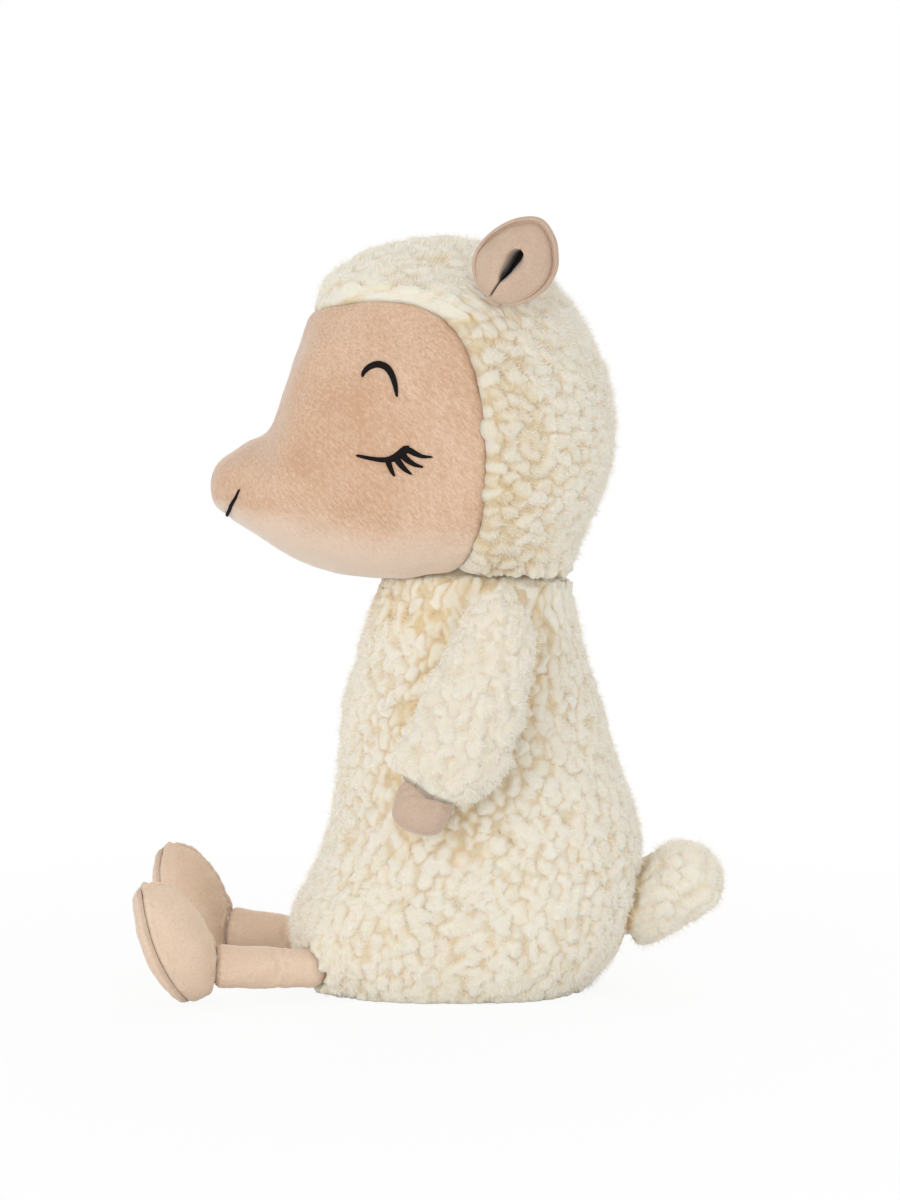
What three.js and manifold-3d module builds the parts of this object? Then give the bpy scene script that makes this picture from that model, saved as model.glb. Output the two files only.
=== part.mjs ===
// A seated plush sheep: a velour face and feet, a curly fleece hood and body, all stuffed
import * as THREE from 'three';
import { mergeVertices } from 'three/addons/utils/BufferGeometryUtils.js';
import Module from 'manifold-3d';

const wasm = await Module();
wasm.setup();

// Sizes in millimetres. X runs to the sheep's left, the face looks along -Y, Z is up
// Cloths, seams and making allowances
const fleeceThickness = 5;
const fleeceRise = 4;
const velourThickness = 2;
const seamGap = 0.3;
const turnGap = 0.1;
const cutOverrun = 20;

// Body: a pear that widens from the shoulders down to a flat seat
const bodyDepth = 141;
const bodyWidth = 106;
const bodyHeight = 157;
const bodyFront = -57;
const baseThickness = 3;
const baseInset = 5;
const pouchHeight = 18;
const pouchWidth = 62;
const pouchDepth = 72;
const pouchBack = 8;

// Neck: the head sits on a round shoulder dome, over a firm wad of stuffing
const neckRadius = 36;
const neckBack = 14.5;
const neckSink = 5.8;
const neckHeight = bodyHeight - neckSink;
const wadRadius = 16;
const wadStemRadius = 11;

// Head: a round skull with a soft snout, hood and face meeting on one seam line
const headLength = 154.5;
const headHeight = 130;
const headWidth = 110;
const noseFront = -87;
const chinHeight = 161;

// Arms: a fleece sleeve with a velour paw
const armLength = 86.3;
const armWidth = 41.5;
const armThickness = 31;
const armTop = 10.8;
const pawLength = 14.3;
const pawWidth = 22;
const pawThickness = 19;
const pawForward = 4.5;
const shoulderBack = 24;
const shoulderHeight = 146;
const shoulderOut = 36;
const armLean = 9.5;
const armForward = 18;

// Legs: a thin velour tube sewn to a shoe-shaped foot with its own sole
const legDiameter = 16.4;
const legLength = 36;
const hipBallRadius = 7.4;
const hipOut = 33;
const hipFront = 48;
const hipHeight = 12;
const legSplay = 8;
const legRises = { left: 3, right: 6 };
const soleLength = 48.4;
const soleWidth = 35;
const soleBow = 4;
const soleBulge = 7.6;
const soleTilt = 25.3;
const footDepth = 19.7;
const footRise = 8.2;
const instepShare = 1.15;
const ankleShare = 0.5;

// Ears: a round folded ear with a soft lining and a pinched slit
const earRadius = 17.4;
const earDepth = 6.5;
const earRootRadius = 5;
const earRootOut = 45;
const earRootBack = 22.5;
const earRootHeight = 268.5;
const earLeanBack = 33;
const earLeanOut = 8;
const earTurn = 14;
const slitLength = 21;
const slitWidth = 4.4;
const slitDepth = 5;

// Tail: a short fleece pompom
const tailLength = 44;
const tailDiameter = 33.5;
const tailBack = 76.5;
const tailHeight = 26.5;
const tailRise = 33;
const tailRootRadius = 7.5;
const tailOpening = 9;
const tailWag = 15;

// Facets around each form and rows along it
const headFacets = [20, 16];
const skullFacets = [10, 16];
const bodyFacets = [20, 12];
const coreFacets = [12, 9];
const domeFacets = 12;
const ballFacets = 6;
const armFacets = [12, 10];
const pawFacets = [8, 5];
const limbCoreFacets = [8, 6];
const legFacets = [8, 4];
const footFacets = [12, 5];
const soleFacets = [12, 4];
const earFacets = 10;
const tailFacets = [12, 8];

// Colours and finishes of the cloths
const finishes = {
  fleece: { color: 0xece4d2, roughness: 0.95, metalness: 0 },
  face: { color: 0xe2bd9e, roughness: 0.85, metalness: 0 },
  velour: { color: 0xddc2a8, roughness: 0.85, metalness: 0 },
  filling: { color: 0xf4f2ec, roughness: 1, metalness: 0 },
  pouch: { color: 0xd8d2c4, roughness: 0.9, metalness: 0 },
};

const radians = THREE.MathUtils.degToRad;
const sides = [['left', 1], ['right', -1]];

// A closed three.js geometry becomes a solid, and a solid becomes a geometry again
function solidOf(geometry) {
  const bare = geometry.index ? geometry.clone() : geometry;
  bare.deleteAttribute('normal');
  bare.deleteAttribute('uv');
  const merged = mergeVertices(bare);
  return new wasm.Manifold(new wasm.Mesh({
    numProp: 3,
    vertProperties: new Float32Array(merged.attributes.position.array),
    triVerts: new Uint32Array(merged.index.array),
  }));
}

function geometryOf(solid) {
  const mesh = solid.getMesh();
  const geometry = new THREE.BufferGeometry();
  geometry.setAttribute('position', new THREE.BufferAttribute(new Float32Array(mesh.vertProperties), 3));
  geometry.setIndex(new THREE.BufferAttribute(new Uint32Array(mesh.triVerts), 1));
  return geometry;
}

function node(name, solid, finish) {
  const geometry = geometryOf(solid);
  geometry.computeVertexNormals();
  const mesh = new THREE.Mesh(geometry, new THREE.MeshStandardMaterial(finishes[finish]));
  mesh.name = name;
  return mesh;
}

// Rings of equal count are skinned, and each end is closed by a fan to its middle
function loft(rings) {
  const count = rings[0].length;
  const points = rings.flat();
  const triangles = [];
  for (let row = 0; row + 1 < rings.length; row += 1) {
    for (let k = 0; k < count; k += 1) {
      const a = row * count + k;
      const b = row * count + (k + 1) % count;
      triangles.push(a, b, a + count, b, b + count, a + count);
    }
  }
  for (const end of [0, rings.length - 1]) {
    const middle = new THREE.Vector3();
    rings[end].forEach((point) => middle.addScaledVector(point, 1 / count));
    points.push(middle);
    for (let k = 0; k < count; k += 1) {
      const a = end * count + k;
      const b = end * count + (k + 1) % count;
      triangles.push(...(end === 0 ? [b, a, points.length - 1] : [a, b, points.length - 1]));
    }
  }
  let volume = 0;
  for (let k = 0; k < triangles.length; k += 3) {
    const [a, b, c] = [points[triangles[k]], points[triangles[k + 1]], points[triangles[k + 2]]];
    volume += a.dot(new THREE.Vector3().crossVectors(b, c));
  }
  if (volume < 0) triangles.reverse();
  const geometry = new THREE.BufferGeometry();
  geometry.setAttribute('position', new THREE.Float32BufferAttribute(points.flatMap((p) => [p.x, p.y, p.z]), 3));
  geometry.setIndex(triangles);
  return solidOf(geometry);
}

// Every column of the rows follows one smooth Catmull-Rom curve; t runs from 0 to 1
function rowAt(rows, t) {
  const place = t * (rows.length - 1);
  const k = Math.min(Math.floor(place), rows.length - 2);
  const f = place - k;
  const at = (n) => rows[Math.max(0, Math.min(rows.length - 1, n))];
  return rows[0].map((_, column) => {
    const [p, q, r, s] = [at(k - 1), at(k), at(k + 1), at(k + 2)].map((row) => row[column]);
    return q + f / 2 * (r - p + f * (2 * p - 5 * q + 4 * r - s + f * (3 * (q - r) + s - p)));
  });
}

function ringAngles(count) {
  return Array.from({ length: count }, (_, k) => k / count * 2 * Math.PI);
}

function steps(count, from = 0) {
  return Array.from({ length: count + 1 }, (_, k) => from + (1 - from) * k / count);
}

function ball(radius, x, y, z, count = ballFacets) {
  const geometry = new THREE.SphereGeometry(radius, 2 * count, count);
  return solidOf(geometry).translate([x, y, z]);
}

// A faceted socket that a ball or stem of the same facets can turn in without touching
function roomFor(radius, count) {
  return (radius + turnGap) / Math.cos(Math.PI / (2 * count)) ** 2;
}

function block(width, depth, height, x, y, z) {
  return solidOf(new THREE.BoxGeometry(width, depth, height)).translate([x, y, z]);
}

// Head rows from the nose to the nape: distance back, top, bottom and half width, as shares,
// and how square the row's underside is, where the head rests on the shoulders
const headRowShares = [
  [0, 0.277, 0.277, 0.002, 0], [0.007, 0.325, 0.233, 0.19, 0], [0.03, 0.362, 0.2, 0.34, 0],
  [0.085, 0.406, 0.152, 0.49, 0], [0.146, 0.45, 0.105, 0.62, 0], [0.184, 0.56, 0.08, 0.7, 0.1],
  [0.222, 0.69, 0.058, 0.77, 0.2], [0.268, 0.823, 0.036, 0.84, 0.4], [0.337, 0.915, 0.013, 0.9, 0.7],
  [0.434, 0.973, 0, 0.964, 0.9], [0.563, 1, 0, 1, 1], [0.693, 0.981, 0.012, 0.99, 1],
  [0.809, 0.915, 0.046, 0.91, 0.9], [0.893, 0.815, 0.112, 0.77, 0.6], [0.951, 0.696, 0.215, 0.565, 0.3],
  [0.987, 0.577, 0.33, 0.33, 0], [1, 0.46, 0.455, 0.002, 0],
];
const underShare = 0.32;
const headWidestShare = 0.44;

// The skull grown outward, or drawn in where grow is negative
function headForm(grow, [count, rowCount]) {
  const length = headLength + 2 * grow;
  const height = headHeight + 2 * grow;
  const halfWidth = headWidth / 2 + grow;
  return loft(steps(rowCount).map((t) => {
    const [back, top, bottom, width, under] = rowAt(headRowShares, t);
    const widest = bottom + (top - bottom) * headWidestShare;
    return ringAngles(count).map((a) => {
      const upper = Math.cos(a) > 0;
      const full = (wave) => Math.sign(wave) * Math.abs(wave) ** (upper ? 1 : 1 - under * underShare);
      const level = widest + full(Math.cos(a)) * (upper ? top - widest : widest - bottom);
      return new THREE.Vector3(
        full(Math.sin(a)) * width * halfWidth,
        noseFront - grow + back * length,
        chinHeight - grow + level * height,
      );
    });
  }));
}

// The seam between face and hood, seen from the side, in shares of the head's length and height
const seamShares = [
  [0.262, 0.815], [0.345, 0.83], [0.43, 0.835], [0.53, 0.82], [0.605, 0.77], [0.655, 0.68], [0.684, 0.565],
  [0.698, 0.42], [0.701, 0.3], [0.69, 0.185], [0.667, 0.095], [0.63, 0.03], [0.58, -0.03],
];
const seamSteps = 18;

// Everything in front of the seam, as a block as wide as the head and more
function faceRegion(grow) {
  const seam = new THREE.SplineCurve(seamShares.map(([back, up]) => new THREE.Vector2(
    noseFront + back * headLength,
    chinHeight + up * headHeight,
  )));
  const edge = steps(seamSteps).map((t) => {
    const along = seam.getTangent(t);
    return seam.getPoint(t).add(new THREE.Vector2(-along.y, along.x).multiplyScalar(grow));
  });
  const start = edge[0];
  const end = edge[edge.length - 1];
  const far = noseFront - cutOverrun;
  const outline = new THREE.Shape([
    new THREE.Vector2(far, start.y), ...edge, new THREE.Vector2(end.x, chinHeight - cutOverrun),
    new THREE.Vector2(far, chinHeight - cutOverrun),
  ]);
  const depth = headWidth + 2 * cutOverrun;
  const geometry = new THREE.ExtrudeGeometry(outline, { depth, bevelEnabled: false });
  geometry.applyMatrix4(new THREE.Matrix4().makeBasis(
    new THREE.Vector3(0, 1, 0), new THREE.Vector3(0, 0, 1), new THREE.Vector3(1, 0, 0),
  ));
  return solidOf(geometry).translate([-depth / 2, 0, 0]);
}

// Body rows from the seat to the shoulders: height, front, back and half width, as shares,
// and how square the row is in plan, from 0, an ellipse, to 1
const bodyRowShares = [
  [0, 0.12, 0.8, 0.79, 1], [0.02, 0.074, 0.84, 0.87, 1], [0.055, 0.04, 0.882, 0.93, 1],
  [0.1, 0.006, 0.93, 0.97, 1], [0.165, 0.003, 0.96, 1, 0.9], [0.24, 0.05, 0.982, 0.99, 0.7],
  [0.34, 0.096, 0.992, 0.965, 0.5], [0.44, 0.125, 0.97, 0.92, 0.3], [0.57, 0.142, 0.917, 0.865, 0.1],
  [0.7, 0.154, 0.873, 0.805, 0], [0.81, 0.192, 0.834, 0.748, 0], [0.92, 0.228, 0.8, 0.7, 0],
  [1, 0.262, 0.765, 0.66, 0],
];
const squareShare = 0.25;

function bodyForm(inset, [count, rowCount]) {
  const depth = bodyDepth - 2 * inset;
  const halfWidth = bodyWidth / 2 - inset;
  return loft(steps(rowCount).map((t) => {
    const [up, front, back, width, square] = rowAt(bodyRowShares, t);
    const middle = (front + back) / 2;
    const full = (wave) => Math.sign(wave) * Math.abs(wave) ** (1 - square * squareShare);
    return ringAngles(count).map((a) => new THREE.Vector3(
      full(Math.sin(a)) * width * halfWidth,
      bodyFront + inset + (middle + (back - middle) * full(Math.cos(a))) * depth,
      inset + up * (bodyHeight - inset),
    ));
  }));
}

// The shoulder dome that the head turns on, closed at the top of the body rows
function neckDome(inset, count) {
  return ball(neckRadius - inset, 0, neckBack, neckHeight, count);
}

function headNodes() {
  const socket = ball(roomFor(neckRadius, domeFacets), 0, neckBack, neckHeight, domeFacets);
  const earRoots = sides.map(([, side]) => ball(
    roomFor(earRootRadius, ballFacets), side * earRootOut, earRootBack, earRootHeight,
  ));
  const outer = headForm(fleeceRise, headFacets);
  const skin = headForm(0, headFacets);
  const cavity = headForm(-velourThickness, skullFacets);
  const hood = outer.subtract(cavity).subtract(faceRegion(seamGap)).subtract(socket)
    .subtract(earRoots[0]).subtract(earRoots[1]);
  const face = skin.subtract(cavity).intersect(faceRegion(0)).subtract(socket);
  const filling = headForm(-velourThickness - seamGap, skullFacets).subtract(socket)
    .subtract(earRoots[0]).subtract(earRoots[1]);
  return [
    node('face_panel', face, 'face'),
    node('hood_fleece', hood, 'fleece'),
    node('head_filling', filling, 'filling'),
  ];
}

// A wad of firm stuffing with a stem that goes up through the neck opening
function neckWad(stemRadius, radius) {
  const stem = new THREE.CylinderGeometry(stemRadius, stemRadius, 2 * neckRadius, 2 * ballFacets);
  stem.rotateX(Math.PI / 2);
  return solidOf(stem).translate([0, neckBack, neckHeight + neckRadius])
    .add(ball(radius, 0, neckBack, neckHeight));
}

function bodyNodes() {
  const opening = neckWad(roomFor(wadStemRadius, ballFacets), roomFor(wadRadius, ballFacets));
  const shoulders = sides.map(([, side]) => shoulderCut(side));
  const hips = sides.map(([, side]) => ball(
    roomFor(hipBallRadius, ballFacets), side * hipOut, -hipFront, hipHeight,
  ));
  const tailSocket = ball(roomFor(tailRootRadius, ballFacets), 0, tailBack, tailHeight);
  const cuts = [opening, ...shoulders, ...hips, tailSocket];
  const whole = bodyForm(0, bodyFacets).add(neckDome(0, domeFacets));
  const cavity = bodyForm(fleeceThickness, coreFacets).add(neckDome(fleeceThickness, ballFacets));
  const core = fleeceThickness + seamGap;
  const inside = bodyForm(core, coreFacets).add(neckDome(core, ballFacets));
  const base = baseOutline(0).intersect(block(
    bodyWidth, 2 * bodyDepth, baseThickness, 0, 0, baseThickness / 2,
  ));
  const well = baseOutline(seamGap).intersect(block(
    bodyWidth, 2 * bodyDepth, 2 * fleeceThickness, 0, 0, fleeceThickness,
  ));
  const pouch = pouchForm(0);
  const pocket = pouchForm(seamGap);
  let fleece = whole.subtract(cavity).subtract(well);
  let filling = inside.subtract(pocket);
  for (const cut of cuts) {
    fleece = fleece.subtract(cut);
    filling = filling.subtract(cut);
  }
  return [
    node('body_fleece', fleece, 'fleece'),
    node('body_base', base, 'fleece'),
    node('body_filling', filling, 'filling'),
    node('pellet_pouch', pouch, 'pouch'),
  ];
}

// The seat panel's outline: the lowest body row, drawn in by the seam and carried straight up
function baseOutline(grow) {
  const [, front, back, width] = bodyRowShares[0];
  const middle = bodyFront + (front + back) / 2 * bodyDepth;
  const halfDepth = (back - front) / 2 * bodyDepth - baseInset + grow;
  const halfWidth = width * bodyWidth / 2 - baseInset + grow;
  const panel = new THREE.CylinderGeometry(1, 1, 2 * cutOverrun, bodyFacets[0]);
  panel.rotateX(Math.PI / 2);
  panel.scale(halfWidth, halfDepth, 1);
  return solidOf(panel).translate([0, middle, 0]);
}

// A flat bag of pellets that lies on the seat panel, inside the stuffing
function pouchForm(grow) {
  const bag = new THREE.SphereGeometry(1, 2 * ballFacets, ballFacets);
  bag.scale(pouchWidth / 2 + grow, pouchDepth / 2 + grow, pouchHeight / 2 + grow);
  const lift = baseThickness + seamGap + pouchHeight / 2;
  return solidOf(bag).translate([0, pouchBack, lift]);
}

// The flat seat of an arm: all that lies outside the shoulder plane, round the pivot
function shoulderCut(side) {
  const reach = armLength;
  const slab = block(reach, 2 * reach, 2 * reach, side * reach / 2, 0, 0);
  return slab.rotate([0, -side * armLean, 0]).translate([side * shoulderOut, shoulderBack, shoulderHeight]);
}

// Arm rows from the shoulder to the wrist: distance down, half width and half thickness, and how
// far the row is set back, as a share of the arm's width
const armRowShares = [
  [0, 0.02, 0.02, 0], [0.01, 0.24, 0.28, 0.005], [0.045, 0.45, 0.55, 0.02], [0.11, 0.6, 0.74, 0.04],
  [0.24, 0.71, 0.87, 0.066], [0.4, 0.84, 0.95, 0.057], [0.6, 0.95, 1, 0.05], [0.76, 1, 0.98, 0.025],
  [0.87, 0.92, 0.88, -0.01], [0.95, 0.75, 0.74, -0.035], [1, 0.54, 0.62, -0.08],
];
const pawRowShares = [
  [-0.6, 0.6, 0.6], [0, 0.96, 0.84], [0.4, 1, 1], [0.75, 0.86, 0.86], [0.94, 0.5, 0.5], [1, 0.03, 0.03],
];

function armNodes(label, side) {
  const reach = armTop + armLength - pawLength;
  const seat = side * (armThickness / 2);
  const form = (inset, [count, rowCount]) => loft(steps(rowCount).map((t) => {
    const [down, width, thickness, set] = rowAt(armRowShares, t);
    return ringAngles(count).map((a) => new THREE.Vector3(
      seat + Math.sin(a) * thickness * (armThickness / 2 - inset),
      set * armWidth + Math.cos(a) * width * (armWidth / 2 - inset),
      armTop - inset - down * (reach - 2 * inset),
    ));
  }));
  const paw = (inset) => loft(steps(pawFacets[1]).map((t) => {
    const [down, width, thickness] = rowAt(pawRowShares, t);
    return ringAngles(pawFacets[0]).map((a) => new THREE.Vector3(
      seat + Math.sin(a) * thickness * (pawThickness / 2 - inset),
      -pawForward + Math.cos(a) * width * (pawWidth / 2 - inset),
      armTop - reach - down * (pawLength - inset),
    ));
  }));
  // The arm's inner side is pressed flat where it lies along the body
  const inward = (wall) => block(
    armLength, 2 * armLength, 4 * armLength, side * (seamGap + wall - armLength / 2), 0, 0,
  );
  const cavity = form(fleeceThickness, limbCoreFacets).subtract(inward(fleeceThickness));
  const sleeve = form(0, armFacets).subtract(inward(0)).subtract(cavity).subtract(paw(-seamGap));
  const pawSkin = paw(0).subtract(paw(velourThickness)).subtract(cavity);
  const filling = form(fleeceThickness + seamGap, limbCoreFacets).add(paw(velourThickness + seamGap))
    .subtract(inward(fleeceThickness + seamGap));
  const group = new THREE.Group();
  group.position.set(side * shoulderOut, shoulderBack, shoulderHeight);
  group.rotation.set(radians(-armForward), radians(-side * armLean), 0, 'YXZ');
  group.add(
    node(`arm_${label}_sleeve`, sleeve, 'fleece'),
    node(`arm_${label}_paw`, pawSkin, 'velour'),
    node(`arm_${label}_filling`, filling, 'filling'),
  );
  return group;
}

// Leg rows from the hip to the ankle: distance forward and radius
const legRowShares = [[0, 0.5], [0.12, 0.72], [0.3, 0.94], [0.5, 1], [0.75, 1], [1, 0.98]];

function legTube(inset, start, [count, rowCount]) {
  return loft(steps(rowCount, start / legLength).map((t) => {
    const [forward, girth] = rowAt(legRowShares, t);
    const radius = girth * legDiameter / 2 - inset;
    return ringAngles(count).map((a) => new THREE.Vector3(
      Math.sin(a) * radius,
      -forward * legLength,
      Math.cos(a) * radius,
    ));
  }));
}

// The sole stands on the heel and leans forward at the toe
const soleUp = new THREE.Vector3(0, -Math.sin(radians(soleTilt)), Math.cos(radians(soleTilt)));
const soleOut = new THREE.Vector3(0, -Math.cos(radians(soleTilt)), -Math.sin(radians(soleTilt)));
const soleCentre = new THREE.Vector3(0, -legLength - footDepth, footRise);

function solePoint(angle, spread, out) {
  return soleCentre.clone().addScaledVector(soleUp, Math.cos(angle) * (spread + soleLength / 2))
    .addScaledVector(soleOut, out + soleBow * Math.sin(angle) ** 2)
    .add(new THREE.Vector3(Math.sin(angle) * (spread + soleWidth / 2), 0, 0));
}

// The upper of the foot: each line leaves the sole's edge square to it and bends into the ankle
function footUpper(inset, [count, rowCount]) {
  const radius = legDiameter / 2 - inset;
  return loft(steps(rowCount).map((t) => ringAngles(count).map((a) => {
    const from = solePoint(a, -inset, 0);
    const to = new THREE.Vector3(Math.sin(a) * radius, -legLength - seamGap, Math.cos(a) * radius);
    const span = from.distanceTo(to) * instepShare;
    const leave = soleOut.clone().multiplyScalar(-span);
    const arrive = new THREE.Vector3(-Math.sin(a), ankleShare, -Math.cos(a)).setLength(span);
    return from.multiplyScalar(2 * t ** 3 - 3 * t ** 2 + 1)
      .addScaledVector(leave, t ** 3 - 2 * t ** 2 + t)
      .addScaledVector(to, 3 * t ** 2 - 2 * t ** 3)
      .addScaledVector(arrive, t ** 3 - t ** 2);
  })));
}

// The sole is an oval cushion that bulges forward from the foot's front; its sides bow forward too
function footSole() {
  return loft(steps(soleFacets[1]).map((t) => ringAngles(soleFacets[0]).map((a) => {
    const lean = t * Math.PI / 2;
    const middle = soleCentre.clone().addScaledVector(soleOut, seamGap + Math.sin(lean) * soleBulge);
    return solePoint(a, 0, seamGap + Math.sin(lean) * soleBulge).lerp(middle, 1 - Math.cos(lean));
  })));
}

// Ways through the foot's flat front and through its ankle
function footFront(inset) {
  return loft([-seamGap, seamGap].map((out) => ringAngles(footFacets[0]).map((a) => solePoint(a, -inset, out))));
}

function ankleNeck(inset) {
  const radius = legDiameter / 2 - inset;
  const neck = new THREE.CylinderGeometry(radius, radius, legDiameter, limbCoreFacets[0]);
  return solidOf(neck).translate([0, -legLength, 0]);
}

function legNodes(label, side) {
  const tube = legTube(0, 0, legFacets).add(ball(hipBallRadius, 0, 0, 0))
    .subtract(legTube(velourThickness, hipBallRadius, limbCoreFacets));
  const shell = footUpper(0, footFacets).subtract(footUpper(velourThickness, footFacets))
    .subtract(footFront(velourThickness)).subtract(ankleNeck(velourThickness));
  const reach = 4 * soleLength;
  const half = (hand) => block(reach, reach, reach, hand * (reach + seamGap) / 2, 0, 0);
  const core = velourThickness + seamGap;
  const filling = legTube(core, hipBallRadius + seamGap, limbCoreFacets)
    .add(footUpper(core, footFacets)).add(ankleNeck(core));
  const group = new THREE.Group();
  group.position.set(side * hipOut, -hipFront, hipHeight);
  group.rotation.set(radians(-legRises[label]), 0, radians(side * legSplay), 'ZXY');
  group.add(
    node(`leg_${label}_tube`, tube, 'velour'),
    node(`foot_${label}_outer_panel`, shell.intersect(half(side)), 'velour'),
    node(`foot_${label}_inner_panel`, shell.intersect(half(-side)), 'velour'),
    node(`foot_${label}_sole`, footSole(), 'velour'),
    node(`leg_${label}_filling`, filling, 'filling'),
  );
  return group;
}

// The ear is a shallow cup with a puffed lining in it, split by the slit where it is folded
function earNodes(label, side) {
  const centre = earRadius;
  const lens = (depth, width, height, lift) => {
    const geometry = new THREE.SphereGeometry(1, earFacets, earFacets / 2);
    geometry.rotateX(Math.PI / 2);
    geometry.scale(depth, width, height);
    return solidOf(geometry).translate([0, 0, lift]);
  };
  const inner = earRadius - velourThickness;
  const size = 4 * earRadius;
  const front = block(size, size, 2 * size, side * size / 2, 0, 0);
  const cup = lens(earDepth, earRadius, earRadius, centre).add(ball(earRootRadius, 0, 0, 0))
    .subtract(front).subtract(lens(earDepth - velourThickness, inner, inner, centre));
  const seat = inner - seamGap;
  const puff = earDepth - velourThickness - seamGap;
  const slitMiddle = centre - inner + slitLength / 2;
  const lining = lens(puff, seat, seat, centre)
    .intersect(front.translate([-side * puff / 2, 0, 0]))
    .subtract(lens(slitDepth, slitWidth / 2, slitLength / 2, slitMiddle).translate([side * slitDepth, 0, 0]));
  const group = new THREE.Group();
  group.position.set(side * earRootOut, earRootBack, earRootHeight);
  group.rotation.set(radians(-earLeanBack), radians(side * earLeanOut), radians(-side * earTurn), 'ZYX');
  group.add(
    node(`ear_${label}_shell`, cup, 'velour'),
    node(`ear_${label}_lining`, lining, 'velour'),
  );
  return group;
}

// Tail rows from the root out: distance back and radius
const tailRowShares = [
  [-0.2, 0.5], [-0.13, 0.75], [0, 0.88], [0.2, 0.97], [0.45, 1], [0.74, 0.99], [0.88, 0.78], [0.97, 0.4],
  [1, 0.01],
];

function tailNodes() {
  const form = (inset, [count, rowCount]) => loft(steps(rowCount).map((t) => {
    const [back, girth] = rowAt(tailRowShares, t);
    return ringAngles(count).map((a) => new THREE.Vector3(
      Math.sin(a) * girth * (tailDiameter / 2 - inset),
      inset + back * (tailLength - 2 * inset),
      Math.cos(a) * girth * (tailDiameter / 2 - inset),
    ));
  }));
  const rod = (radius, length) => solidOf(new THREE.CylinderGeometry(radius, radius, length, tailFacets[0]));
  // The body, swung through the tail's wag, clears the tail's inner side
  const clearance = [-tailWag, -tailWag / 2, 0, tailWag / 2, tailWag].map((wag) => (
    bodyForm(-seamGap, bodyFacets).translate([0, -tailBack, -tailHeight])
      .rotate([-tailRise, 0, 0]).rotate([0, 0, wag])));
  const core = fleeceThickness + seamGap;
  let fleece = form(0, tailFacets).subtract(form(fleeceThickness, limbCoreFacets))
    .subtract(rod(tailOpening, tailLength));
  let filling = form(core, limbCoreFacets)
    .add(rod(tailRootRadius, tailLength / 2).translate([0, tailLength / 4, 0]));
  for (const body of clearance) {
    fleece = fleece.subtract(body);
    filling = filling.subtract(body);
  }
  filling = filling.add(ball(tailRootRadius, 0, 0, 0));
  const group = new THREE.Group();
  group.position.set(0, tailBack, tailHeight);
  group.rotation.set(radians(tailRise), 0, 0);
  group.add(
    node('tail_fleece', fleece, 'fleece'),
    node('tail_filling', filling, 'filling'),
  );
  return group;
}

const sheep = new THREE.Group();
sheep.add(...bodyNodes());
const wadTop = ball(neckRadius, 0, neckBack, neckHeight, domeFacets);
sheep.add(node('neck_filling', neckWad(wadStemRadius, wadRadius).intersect(wadTop), 'filling'));
sheep.add(...headNodes());
for (const [label, side] of sides) {
  sheep.add(armNodes(label, side), legNodes(label, side), earNodes(label, side));
}
sheep.add(tailNodes());

// The origin lies under the middle of the whole sheep
sheep.updateMatrixWorld(true);
const extent = new THREE.Box3().setFromObject(sheep, true);
sheep.position.y = -(extent.min.y + extent.max.y) / 2;

export default sheep;
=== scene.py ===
"""A seated plush sheep: curly fleece, velour face and feet, folded ears and embroidery."""

import math

import bpy
import numpy as np
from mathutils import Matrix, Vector


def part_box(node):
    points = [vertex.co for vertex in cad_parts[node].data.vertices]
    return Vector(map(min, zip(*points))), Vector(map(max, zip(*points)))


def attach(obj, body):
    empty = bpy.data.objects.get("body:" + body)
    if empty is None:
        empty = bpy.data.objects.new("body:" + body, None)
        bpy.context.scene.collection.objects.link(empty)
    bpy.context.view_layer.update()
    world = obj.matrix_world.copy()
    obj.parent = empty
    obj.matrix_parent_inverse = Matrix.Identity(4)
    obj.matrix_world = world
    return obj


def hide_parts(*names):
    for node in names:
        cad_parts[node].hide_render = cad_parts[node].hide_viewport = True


bl_info = {
    "name": "Plush sheep",
    "version": (1, 0, 0),
    "blender": (4, 5, 0),
    "location": "3D View > Sidebar > Sheep",
    "description": "Makes the fleece, velour, stitching and stage of a seated plush sheep",
    "category": "Add Mesh",
}

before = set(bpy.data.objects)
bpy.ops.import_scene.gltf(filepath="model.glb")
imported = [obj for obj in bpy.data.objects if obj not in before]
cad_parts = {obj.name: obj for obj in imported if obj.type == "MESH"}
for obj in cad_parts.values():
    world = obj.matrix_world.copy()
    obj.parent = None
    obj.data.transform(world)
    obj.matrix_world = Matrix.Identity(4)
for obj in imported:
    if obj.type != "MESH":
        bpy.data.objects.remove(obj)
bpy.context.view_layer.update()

MM = 0.001
TURN = 2 * math.pi
SIDES = (("left", 1), ("right", -1))

# The sheep is modelled in millimetres; its middle lies a little back of the pattern's own origin
SEAT_MIDDLE = sum((corner.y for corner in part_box("pellet_pouch")), 0.0) / 2 / MM
POUCH_BACK = 8.0
SHIFT = SEAT_MIDDLE - POUCH_BACK

BODY = {"depth": 141.0, "width": 106.0, "height": 157.0, "front": -57.0 + SHIFT, "inset": 5.0}
NECK = {"centre": (0.0, 14.5 + SHIFT, 151.2), "radius": 36.0}
HEAD = {"length": 154.5, "height": 130.0, "width": 110.0, "nose": -87.0 + SHIFT, "chin": 161.0}
ARM = {
    "length": 86.3, "width": 41.5, "thickness": 31.0, "top": 10.8,
    "paw_length": 14.3, "paw_width": 22.0, "paw_thickness": 19.0, "paw_forward": 4.5,
    "out": 36.0, "back": 24.0 + SHIFT, "up": 146.0, "lean": 9.5, "forward": 18.0,
}
LEG = {
    "diameter": 16.4, "length": 36.0, "hip": 7.4, "out": 33.0, "back": -48.0 + SHIFT,
    "up": 12.0, "splay": 8.0, "rise_left": 3.0, "rise_right": 6.0,
}
FOOT = {
    "length": 48.4, "width": 35.0, "bow": 4.0, "bulge": 7.6, "tilt": 25.3, "depth": 19.7,
    "rise": 8.2, "instep": 1.15, "ankle": 0.5,
}
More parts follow.
